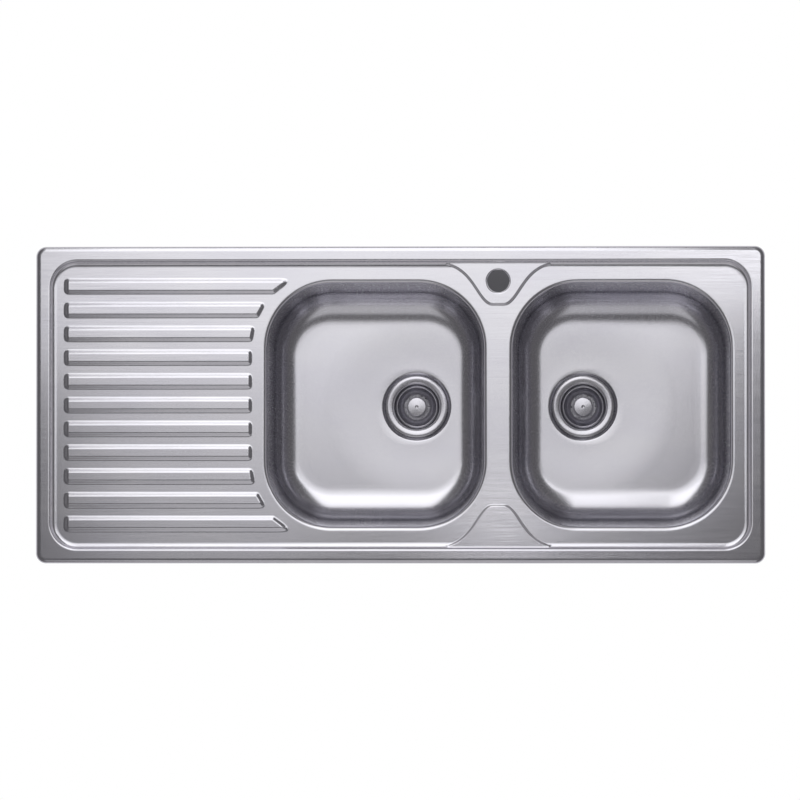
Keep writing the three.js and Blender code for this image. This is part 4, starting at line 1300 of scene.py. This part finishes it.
@dataclass
class StrainerWaste:
    """A pressed cup that one screw draws down on a moulded body, with a gasket on either side."""

    side: Side
    drain: float
    seat: float
    flange_radius: float = 48.0
    flange_reach: float = 0.9  # how much wider it is shown, to close the gap to its recess
    throat_radius: float = 36.0
    throat_taper: float = 0.5
    throat_depth: float = 14.0
    seat_drop: float = 5.0
    seat_width: float = 6.0
    cup_depth: float = 34.0
    cup_wall: float = 1.2
    cup_taper: float = 1.5
    drill_depth: float = 3.0
    drain_holes: int = 6
    drain_hole_radius: float = 5.0
    boss_clearance: float = 6.0
    body_bore: float = 2.3  # how much wider the body is than the cup's throat
    body_wall: float = 3.2
    body_fall: float = 1.5
    body_drops: tuple[float, ...] = (4.8, 37.2, 50.2, 74.2)  # rim, funnel, spout and outlet
    arm_reach: float = 30.1
    arm_height: float = 7.8
    outlet_bore: float = 20.0
    outlet_radius: float = 23.9
    outlet_length: float = 24.0
    thread_pitch: float = 2.3
    thread_ridge: float = 0.75
    thread_root: float = 0.55  # how far inside the outlet's face the ridge's middle runs
    thread_start: float = 2.5
    thread_plain: float = 6.0  # how much of the outlet has no thread
    screw_hole: float = 3.6
    screw_length: float = 17.2
    screw_tip: float = 1.0
    screw_steps: int = 48

    def __post_init__(self) -> None:
        """Works out the cup's inner radii and its drain's axis."""
        self.throat = self.throat_radius - self.throat_taper
        self.cup = self.throat - self.seat_width
        self.centre = (self.drain, 0.0)

    def cup_profile(self) -> list[tuple[float, ...]]:
        """Gives the cup's section: flange, throat, the cone that the basket seats on, and floor."""
        seat, throat, cup = self.seat, self.throat, self.cup
        cone_top, cone_foot = seat - self.throat_depth, seat - self.throat_depth - self.seat_drop
        floor, under = seat - self.cup_depth, seat - self.cup_depth - self.cup_wall
        edge = self.flange_radius + self.flange_reach
        return [
            (edge, seat),
            (edge, seat + 1.3, 0.5),
            (edge - 3.5, seat + 2.3, 3.0),
            (self.throat_radius + 2.2, seat + 1.2, 3.0),
            (self.throat_radius - 0.1, seat - 2.5, 2.5),
            (throat, cone_top, 1.5),
            (cup, cone_foot, 1.5),
            (cup - self.cup_taper, floor, 4.0),
            (self.screw_hole, floor, 0.4),
            (self.screw_hole, under),
            (cup - self.cup_taper + self.cup_wall, under, 4.5),
            (cup + self.cup_wall, cone_foot - 0.6, 1.5),
            (throat + self.cup_wall, cone_top - 0.6, 1.5),
            (self.throat_radius + self.cup_wall, seat, 0.0),
        ]

    def build_cup(self, palette: Palette) -> None:
        """Makes the cup and drills its floor."""
        name = f"waste_cup_{self.side.value}"
        seed = turned(self.cup_profile(), self.centre).mesh("cup_turned")
        ring = (self.cup - self.cup_taper + self.boss_clearance) / 2
        sizes = {
            "Middle": MM * self.drain,
            "Height": MM * (self.seat - self.cup_depth - self.cup_wall / 2),
            "Reach": MM * self.drill_depth,
            "Hole radius": MM * self.drain_hole_radius,
            "Outer ring": MM * ring,
            "Outer holes": self.drain_holes,
            "Inner ring": MM * ring,
            "Inner holes": self.drain_holes,
        }
        mesh = grown(name, pierce_tree(palette.fitting), sizes, seed)
        shade(mesh)
        cup = new_object("strainer_cup_" + self.side.value, mesh, palette.fitting)
        place(cup, "sink", "stainless_steel", [name, "waste_flange_" + self.side.value])

    def body_skin(self) -> Skin:
        """Gives the moulded body: rim, funnel and spout, and a boss on four arms for the screw."""
        top, funnel, spout, outlet = (self.seat - drop for drop in self.body_drops)
        bore, wall = self.throat_radius + self.body_bore, self.body_wall
        fall, brim = self.body_fall, self.flange_radius + 3
        section = [
            (self.outlet_bore, outlet, 0.6),
            (self.outlet_radius, outlet, 0.6),
            (self.outlet_radius, spout - fall, 3.0),
            (bore + wall, funnel - fall, 5.0),
            (bore + wall, top - 3.5, 1.0),
            (brim, top - 3.5, 0.7),
            (brim, top, 0.7),
            (bore, top, 0.4),
            (bore, funnel, 5.0),
            (self.outlet_bore, spout, 3.0),
        ]
        boss = [
            (6.15, spout + 2),
            (8.1, spout + 2, 0.5),
            (8.1, funnel + 2, 0.5),
            (3.3, funnel + 2),
            (3.3, funnel - 5.7),
            (6.15, funnel - 5.7),
        ]
        skin = turned(section, self.centre)
        skin.join(turned(boss, self.centre, self.screw_steps))
        for quarter in range(4):
            skin.join(self.arm(quarter * math.pi / 2, bore + 1.6, funnel))
        return skin

    def arm(self, angle: float, reach: float, top: float) -> Skin:
        """Gives one of the arms that carry the boss, from its root to the body's wall."""
        root, foot = 7.0, top - self.arm_height
        edge = [(root, top), (reach, top), (reach, top - 0.8), (self.arm_reach, foot), (root, foot)]
        ux, uy = math.cos(angle), math.sin(angle)
        made = Skin()
        sides = [
            [(self.drain + r * ux - w * uy, r * uy + w * ux, z) for r, z in edge]
            for w in (self.body_wall / 2, -self.body_wall / 2)
        ]
        made.loft(sides, capped=True)
        return made

    def build_body(self, palette: Palette) -> None:
        """Makes the moulded body and winds the union nut's thread round its outlet."""
        node = f"waste_body_{self.side.value}"
        sizes = {
            "Middle X": MM * self.drain,
            "Middle Y": 0.0,
            "Foot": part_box(node)[0].z + MM * self.thread_start,
            "Radius": MM * (self.outlet_radius - self.thread_root),
            "Pitch": MM * self.thread_pitch,
            "Turns": (self.outlet_length - self.thread_plain) / self.thread_pitch,
            "Ridge": MM * self.thread_ridge,
        }
        seed = self.body_skin().mesh("body_turned")
        mesh = grown(node, thread_tree(palette.plastic), sizes, seed)
        shade(mesh, THREAD_CREASE)
        body = new_object("moulded_" + node, mesh, palette.plastic)
        place(body, "sink", "white_polypropylene", [node])

    def build_gaskets(self, palette: Palette) -> None:
        """Makes the soft rings above and below the bowl's floor."""
        bore = self.throat_radius + 2.8
        rings = {
            "flange_gasket": (self.flange_radius - 0.6, 0.0, 1.5),
            "body_gasket": (self.flange_radius + 1, 2.3, 4.8),
        }
        for name, (outer, top, foot) in rings.items():
            top, foot = self.seat - top, self.seat - foot
            node = f"{name}_{self.side.value}"
            section = [(bore, foot, 0.4), (outer, foot, 0.5), (outer, top, 0.5), (bore, top, 0.4)]
            ring = turned(section, self.centre)
            gasket = piece_of("moulded_" + node, ring, palette.rubber, MOULDED_CREASE)
            place(gasket, "sink", "black_rubber", [node])

    def build_screw(self, palette: Palette) -> None:
        """Makes the screw that clamps the cup to the body, and winds its thread."""
        node = f"clamp_screw_{self.side.value}"
        floor = self.seat - self.cup_depth
        end = floor - self.screw_length
        slot = [(AXIS, end), (AXIS, floor + 2.6), (1.9, floor + 2.6, 0.2)]
        slot += [(1.9, floor + 1.3), (3.1, floor + 1.3), (3.1, floor + 2.6, 0.3)]
        head = [(5.0, floor + 2.6, 1.5), (6.0, floor + 1.0, 0.6), (6.0, floor, 0.3)]
        shank = [(3.0, floor), (3.0, end + 0.6), (2.4, end)]
        skin = turned([*slot, *head, *shank], self.centre, self.screw_steps)
        sizes = {
            "Middle X": MM * self.drain,
            "Middle Y": 0.0,
            "Foot": MM * (end + self.screw_tip),
            "Radius": MM * 2.8,
            "Pitch": MM * 1.0,
            "Turns": 14.0,
            "Ridge": MM * 0.28,
        }
        mesh = grown(node, thread_tree(palette.zinc), sizes, skin.mesh("screw_turned"))
        shade(mesh, THREAD_CREASE)
        screw = new_object("threaded_" + node, mesh, palette.zinc)
        place(screw, "sink", "zinc_plated_steel", [node])

    def build(self, palette: Palette) -> None:
        """Makes the fixed half of the waste."""
        self.build_cup(palette)
        self.build_body(palette)
        self.build_gaskets(palette)
        self.build_screw(palette)


@dataclass
class LiftOutBasket:
    """The basket that lifts out of the cup: pierced shell, rubber seal, post and turned knob."""

    side: Side
    drain: float
    seat: float
    throat_radius: float = 36.0
    throat_taper: float = 0.5
    throat_depth: float = 14.0
    play: float = 1.0
    rim_drop: float = 8.0
    lip: float = 3.3
    lip_fall: float = 2.2
    wall_depth: float = 13.0
    taper: float = 4.3
    dish: float = 5.5
    sheet: float = 0.8
    drill_depth: float = 12.0
    hole_radius: float = 1.6
    hole_rings: tuple[tuple[float, int], ...] = ((8, 16), (15, 8))  # how far in, and how many
    post_radius: float = 2.8
    knob_radius: float = 15.0
    knob_rise: float = 1.0
    knob_height: float = 9.0

    def __post_init__(self) -> None:
        """Works out the shell's radii at its lip, wall and floor."""
        narrower = self.throat_taper * self.rim_drop / self.throat_depth
        self.radius = self.throat_radius - narrower - self.play
        self.wall = self.radius - self.lip
        self.inner = self.wall - self.taper
        self.centre = (self.drain, 0.0)

    def shell_profile(self) -> list[tuple[float, ...]]:
        """Gives the shell's section: lip, tapering wall and dished floor."""
        radius, wall, inner = self.radius, self.wall, self.inner
        top = self.seat - self.rim_drop
        foot = top - self.wall_depth
        floor = foot - self.dish
        return [
            (radius, top - self.lip_fall, 0.4),
            (wall, top, 1.2),
            (inner, foot, 3.0),
            (inner - 5, foot - self.dish * 0.8, 3.0),
            (inner - 16, floor, 6.0),
            (self.post_radius + 0.3, floor),
            (self.post_radius + 0.3, floor - self.sheet),
            (inner - 16, floor - self.sheet, 6.0),
            (inner - 4.6, foot - self.dish * 0.8 - self.sheet * 0.8, 3.0),
            (inner + self.sheet, foot, 3.0),
            (wall + self.sheet, top - 1, 0.6),
            (radius, top - 1 - self.lip_fall, 0.4),
        ]

    def knob_profile(self) -> list[tuple[float, ...]]:
        """Gives the knob's section, its top turned to a shallow cone with a dimple."""
        radius, top = self.knob_radius, self.seat + self.knob_rise
        foot = top - self.knob_height
        return [
            (AXIS, foot),
            (AXIS, top - 1.0),
            (1.6, top - 0.7, 0.8),
            (2.6, top, 0.6),
            (radius - 0.9, top - 1.2, 0.6),
            (radius, top - 2.0, 0.5),
            (radius - 0.8, top - 3.2, 0.8),
            (radius - 6, top - 5, 2.0),
            (radius - 8.5, foot + 1.5, 1.5),
            (radius - 8, foot, 0.4),
        ]

    def hand_in(self, kind: str, piece: Object, slot: str = "stainless_steel") -> None:
        """Puts a finished piece on the basket's own body."""
        side = self.side.value
        place(piece, "basket_" + side, slot, [f"basket_{kind}_{side}"])

    def build_seal(self, palette: Palette) -> None:
        """Makes the rubber ring that closes the cup."""
        corners = ((29.5, 17.2), (31.0, 12.6), (34.5, 12.6), (34.8, 13.8), (31.3, 17.2))
        ring = turned([(radius, self.seat - drop, 0.5) for radius, drop in corners], self.centre)
        name = "moulded_seal_" + self.side.value
        self.hand_in("seal", piece_of(name, ring, palette.rubber, MOULDED_CREASE), "black_rubber")

    def build_post(self, palette: Palette) -> None:
        """Makes the post that the knob stands on."""
        top, collar, foot = (self.seat - drop for drop in (8.3, 27.6, 28.8))
        rod, steps = self.post_radius, 48
        section = [(AXIS, foot), (AXIS, top), (rod, top, 0.3), (rod, collar)]
        section += [(rod + 2.2, collar, 0.3), (rod + 2.2, foot, 0.6)]
        post = turned(section, self.centre, steps)
        self.hand_in("post", piece_of("riveted_post_" + self.side.value, post, palette.fitting))

    def build_shell(self, palette: Palette) -> None:
        """Makes the shell and punches two rings of holes in its floor."""
        (outer_in, outer_count), (inner_in, inner_count) = self.hole_rings
        sizes = {
            "Middle": MM * self.drain,
            "Height": MM * (self.seat - self.rim_drop - self.wall_depth - self.dish),
            "Reach": MM * self.drill_depth,
            "Hole radius": MM * self.hole_radius,
            "Outer ring": MM * (self.inner - outer_in),
            "Outer holes": outer_count,
            "Inner ring": MM * (self.inner - inner_in),
            "Inner holes": inner_count,
        }
        seed = turned(self.shell_profile(), self.centre).mesh("shell_turned")
        mesh = grown("basket_shell", pierce_tree(palette.fitting), sizes, seed)
        shade(mesh)
        shell = new_object("pierced_basket_" + self.side.value, mesh, palette.fitting)
        self.hand_in("shell", shell)

    def build(self, palette: Palette) -> None:
        """Makes the basket's pieces."""
        self.build_seal(palette)
        self.build_post(palette)
        self.build_shell(palette)
        knob = turned(self.knob_profile(), self.centre)
        self.hand_in("knob", piece_of("turned_knob_" + self.side.value, knob, palette.fitting))


# ---------- The clips ----------


@dataclass
class RimClips:
    """The clips round the rim: brackets under the deck, hexagon screws and claws."""

    nodes: dict[str, Object]
    count: int = 8
    shank_radius: float = 3.0
    head_height: float = 4.0
    pitch: float = 1.0
    ridge: float = 0.28
    ridge_root: float = 0.2  # how far inside the shank's face the ridge's middle runs
    end_gap: float = 1.0  # the plain length at either end of the thread
    broken_edge: float = 0.25

    def screw_place(self, number: int) -> Vector:
        """Gives the middle of a screw's foot."""
        low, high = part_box(f"clip_screw_{number}")
        return Vector(((low.x + high.x) / 2, (low.y + high.y) / 2, low.z))

    def build(self, palette: Palette) -> None:
        """Makes the screws and claws, each on its own body, and the brackets as one piece."""
        thread = thread_tree(palette.zinc)
        for number in range(1, self.count + 1):
            self.build_screw(number, thread, palette)
            node = f"clip_claw_{number}"
            mesh = smooth_copy(self.nodes[node], palette.zinc)
            claw = new_object(f"bent_claw_{number}", mesh, palette.zinc)
            soften(claw, self.broken_edge)
            place(claw, f"claw_{number}", "zinc_plated_steel", [node])
        self.build_hangers(palette)

    def build_screw(self, number: int, thread: Tree, palette: Palette) -> None:
        """Winds the thread round one screw."""
        node = f"clip_screw_{number}"
        middle = self.screw_place(number)
        foot = middle.z + MM * (self.head_height + self.end_gap)
        sizes = {
            "Middle X": middle.x,
            "Middle Y": middle.y,
            "Foot": foot,
            "Radius": MM * (self.shank_radius - self.ridge_root),
            "Pitch": MM * self.pitch,
            "Turns": (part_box(node)[1].z - foot - MM * self.end_gap) / (MM * self.pitch),
            "Ridge": MM * self.ridge,
        }
        mesh = grown(node, thread, sizes, smooth_copy(self.nodes[node], palette.zinc))
        shade(mesh, THREAD_CREASE)
        screw = new_object(f"threaded_screw_{number}", mesh, palette.zinc)
        place(screw, f"screw_{number}", "zinc_plated_steel", [node])

    def build_hangers(self, palette: Palette) -> None:
        """Sets the brackets out round the rim, those at the front turned the other way round."""
        places = [self.screw_place(number) for number in range(1, self.count + 1)]
        model = next(number for number, place_at in enumerate(places, 1) if place_at.y > 0)
        bracket = smooth_copy(self.nodes[f"clip_hanger_{model}"], palette.zinc)
        bracket.transform(Matrix.Translation((-places[model - 1].x, -places[model - 1].y, 0)))
        pattern_part = new_object("bracket_pattern", bracket, palette.zinc)
        spots = bpy.data.meshes.new("bracket_places")
        spots.from_pydata([(place_at.x, place_at.y, 0.0) for place_at in places], [], [])
        turns = spots.attributes.new(TURN, "FLOAT", "POINT")
        turns.data.foreach_set("value", [0.0 if place_at.y > 0 else math.pi for place_at in places])
        mesh = grown("brackets", setting_tree(palette.zinc), {"Part": pattern_part}, spots)
        bpy.data.objects.remove(pattern_part)
        shade(mesh)
        brackets = new_object("bent_brackets", mesh, palette.zinc)
        soften(brackets, self.broken_edge)
        nodes = [f"clip_hanger_{number}" for number in range(1, self.count + 1)]
        place(brackets, "sink", "zinc_plated_steel", nodes)


def soften(piece: Object, width: float, sharp: float = 40.0) -> None:
    """Breaks a piece's edges sharper than an angle in degrees by a small bevel."""
    bevel = piece.modifiers.new("Broken edges", "BEVEL")
    bevel.width = MM * width
    bevel.segments = 2
    bevel.limit_method = "ANGLE"
    bevel.angle_limit = math.radians(sharp)


# ---------- The studio ----------


@dataclass(frozen=True)
class Softbox:
    """A rectangular light that hangs level over the sink, in metres, and how bright its face is."""

    name: str
    middle: Pair
    size: Pair
    level: float
    height: float = 1.5

    def hang(self) -> None:
        """Puts the light in the scene, where a face of level 1 would look plain white."""
        light = bpy.data.lights.new(self.name, "AREA")
        light.shape = "RECTANGLE"
        light.size, light.size_y = self.size
        light.energy = self.level * math.pi * self.size[0] * self.size[1]
        lamp = bpy.data.objects.new(self.name, light)
        lamp.location = (*self.middle, self.height)
        lamp.visible_camera = False
        bpy.context.scene.collection.objects.link(lamp)


def facing(where: Vector, towards: Vector) -> Matrix:
    """Gives the place of a camera that looks at a point, with the sink's back upwards.

    Args:
        where: Its place.
        towards: What it looks at.

    Returns:
        Its matrix.
    """
    backward = (where - towards).normalized()
    right = Vector((0, 1, 0)).cross(backward).normalized()
    turn = Matrix((right, backward.cross(right), backward)).transposed()
    return Matrix.Translation(where) @ turn.to_4x4()


@dataclass
class Studio:
    """A white floor, level panels of light in a grey room, and the photograph's camera."""

    floor_z: float
    frame_width: float = 1.2613
    frame_shift: float = 0.0061  # the photograph shows the sink a little below its middle
    film_width: float = 36.0
    camera_place: Point = (0.31, -0.186, 9.6)
    sight: float = 100.0
    overhead: float = 0.15  # how bright the room is beside the panels
    horizon: float = 0.75
    dim_from: float = 0.5  # the sine of the height at which the room is as dim as overhead
    shadow: Pair = (0.575, 0.25)  # half the length and the width of the floor under the sink, where its colour holds a painted shadow
    shadow_corner: float = 0.06
    shadow_edge: float = 0.03  # how wide its soft edge is
    floor_reach: float = 30000.0
    lights: Sequence[Softbox] = (
        Softbox("Panel over the back edge", (-0.15, 1.35), (1.3, 1.7), 1.75),
        Softbox("Panel over the tap ledge", (-0.15, 0.3), (1.3, 0.4), 1.15),
        Softbox("Panel over the bowls", (0.12, 0.0), (0.75, 0.32), 0.8),
        Softbox("Strip over the bridge between the bowls", (0.14, 0.06), (0.16, 0.6), 2.2),
        Softbox("Panel over the drainer", (-0.42, -0.07), (0.44, 0.4), 0.62),
        Softbox("Panel over the tap hole", (0.26, 0.22), (0.4, 0.24), 1.8),
        Softbox("Panel over the right back corner", (0.62, 0.38), (0.34, 0.3), 2.2),
        Softbox("Panel far behind", (-0.2, 2.9), (1.4, 1.4), 1.5),
        Softbox("Panel far in front", (0.0, -2.2), (1.5, 2.4), 0.55),
    )

    def floor(self) -> None:
        """Lays the floor, white to the camera and in reflections apart from under the sink, where the real
        shading shows over a painted shadow that darkens the floor's colour.
        """
        skin = Skin()
        reach = self.floor_reach
        corners = ((-reach, -reach), (reach, -reach), (reach, reach), (-reach, reach))
        skin.faces.append(tuple(skin.add_ring(lift(corners, self.floor_z))))
        material, tree, shader = new_surface("Studio paper white matte", {"Roughness": 0.9})
        rays = add_node(tree, "ShaderNodeLightPath").outputs
        seen = rays["Is Camera Ray"]
        for kind in ("Is Glossy Ray", "Is Transmission Ray"):
            either = {0: seen, 1: rays[kind]}
            seen = add_node(tree, "ShaderNodeMath", either, operation="MAXIMUM").outputs["Value"]
        clear_of_painted_shadow = self.beside_sink(tree)
        # painted shadow: under the sink the floor's own colour is darkened to grey, on top of the real
        # shading there
        tint(tree, shader, clear_of_painted_shadow, "#7C7C80", "#F4F4F4")
        factors = {0: seen, 1: clear_of_painted_shadow}
        beside = add_node(tree, "ShaderNodeMath", factors, operation="MULTIPLY")
        paper = {"Color": linear("#FFFFFF"), "Strength": 1.0}
        white = add_node(tree, "ShaderNodeEmission", paper)
        mix = add_node(
            tree,
            "ShaderNodeMixShader",
            {0: beside.outputs["Value"], 1: shader.outputs["BSDF"], 2: white.outputs["Emission"]},
        )
        output = next(node for node in tree.nodes if node.type == "OUTPUT_MATERIAL")
        tree.links.new(mix.outputs["Shader"], output.inputs["Surface"])
        new_object("studio_floor", skin.mesh("studio_floor", outwards=False), material)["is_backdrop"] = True

    def beside_sink(self, tree: Tree) -> Socket:
        """Tells the floor beside the sink (1) from the floor under it (0), softly: under it the real shadow
        shows, and the floor's colour is darkened to a painted shadow.
        """
        corner = self.shadow_corner
        inner = (self.shadow[0] - corner, self.shadow[1] - corner, 0.0)
        over = add_node(tree, "ShaderNodeTexCoord").outputs["Object"]
        steps = (
            ("ABSOLUTE", {}),
            ("SUBTRACT", {1: inner}),
            ("MAXIMUM", {1: (0, 0, 0)}),
            ("MULTIPLY", {1: (1, 1, 0)}),
        )
        for operation, operand in steps:
            inputs = {0: over, **operand}
            node = add_node(tree, "ShaderNodeVectorMath", inputs, operation=operation)
            over = node.outputs["Vector"]
        away = add_node(tree, "ShaderNodeVectorMath", {0: over}, operation="LENGTH")
        ends = {"From Min": corner - self.shadow_edge, "From Max": corner}
        edge = add_node(
            tree,
            "ShaderNodeMapRange",
            {"Value": away.outputs["Value"], **ends},
            interpolation_type="SMOOTHSTEP",
        )
        return edge.outputs["Result"]

    def world(self) -> None:
        """Fills the room with grey, dim overhead beside the panels and paler at the horizon."""
        world = bpy.data.worlds.new("Studio room")
        world.use_nodes = True
        tree = world.node_tree
        direction = add_node(tree, "ShaderNodeTexCoord").outputs["Generated"]
        height = add_node(tree, "ShaderNodeSeparateXYZ", {"Vector": direction}).outputs["Z"]
        level = add_node(
            tree,
            "ShaderNodeMapRange",
            {
                "Value": height,
                "From Max": self.dim_from,
                "To Min": self.horizon,
                "To Max": self.overhead,
            },
            interpolation_type="SMOOTHSTEP",
        )
        background = tree.nodes["Background"]
        background.inputs["Color"].default_value = linear("#FFFCFF")
        tree.links.new(level.outputs["Result"], background.inputs["Strength"])
        bpy.context.scene.world = world

    def camera(self) -> None:
        """Sets the camera far above, a little to the right and the front, as in the photograph."""
        place_at = Vector(self.camera_place)
        data = bpy.data.cameras.new("photograph")
        data.sensor_width = self.film_width
        data.lens = data.sensor_width * place_at.length / self.frame_width
        data.shift_y = self.frame_shift
        data.clip_end = self.sight
        camera = bpy.data.objects.new("photograph", data)
        camera.matrix_world = facing(place_at, Vector((0, 0, 0)))
        bpy.context.scene.collection.objects.link(camera)
        bpy.context.scene.camera = camera

    def build(self) -> None:
        """Sets up the camera, the floor and the light."""
        self.camera()
        self.floor()
        self.world()
        for light in self.lights:
            light.hang()
        bpy.context.scene.view_settings.view_transform = "Standard"


# ---------- The whole ----------


def bowl_place(side: Side, mouth_roll: float) -> BowlPlace:
    """Reads a bowl's place from the frame.

    Args:
        side: Which bowl.
        mouth_roll: The radius of the mouth's roll, which the bowl hangs inside.

    Returns:
        Its place and size at the mouth.
    """
    low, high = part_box("bowl_" + side.value)
    cup_low, cup_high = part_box("waste_cup_" + side.value)
    grown_by = 2 * (mouth_roll - SHEET)
    return BowlPlace(
        side,
        centre=(low.x + high.x) / 2 / MM,
        length=(high.x - low.x) / MM + grown_by,
        width=(high.y - low.y) / MM + grown_by,
        drain=(cup_low.x + cup_high.x) / 2 / MM,
    )


def dress(node: Object, material: Material) -> None:
    """Gives a CAD node that shows as it is its finish."""
    node.data.materials.clear()
    node.data.materials.append(material)


def box_as_lists() -> list[list[float]]:
    """Gives the whole object's box as plain numbers."""
    return [[float(c) for c in corner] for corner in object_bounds()]


def main() -> None:
    """Builds the looks of the sink round its frame."""
    logging.basicConfig(level=logging.INFO, format="%(message)s")
    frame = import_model()
    cad_box = box_as_lists()
    palette = Palette()
    low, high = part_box("sink_top")
    places = [bowl_place(side, PressedTop.mouth_roll) for side in Side]
    Studio(floor_z=cad_box[0][2] / MM).build()
    top = PressedTop((high.x - low.x) / MM, (high.y - low.y) / MM, places)
    top.build(palette)
    for place_of_bowl in places:
        bowl_low, bowl_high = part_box("bowl_" + place_of_bowl.side.value)
        recess = bowl_low.z / MM + SHEET
        floor_z = recess + DrawnBowl.recess_depth + DrawnBowl.floor_fall
        DrawnBowl(place_of_bowl, bowl_high.z / MM, floor_z).build(palette)
        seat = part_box("flange_gasket_" + place_of_bowl.side.value)[1].z / MM
        StrainerWaste(place_of_bowl.side, place_of_bowl.drain, seat).build(palette)
        LiftOutBasket(place_of_bowl.side, place_of_bowl.drain, seat).build(palette)
    RimClips(frame["nodes"]).build(palette)
    for side in Side:
        dress(frame["nodes"]["clamp_nut_" + side.value], palette.brass)
        dress(frame["nodes"]["sound_pad_" + side.value], palette.bitumen)
    dress(frame["nodes"]["rim_seal"], palette.foam)


if __name__ == "__main__":
    main()
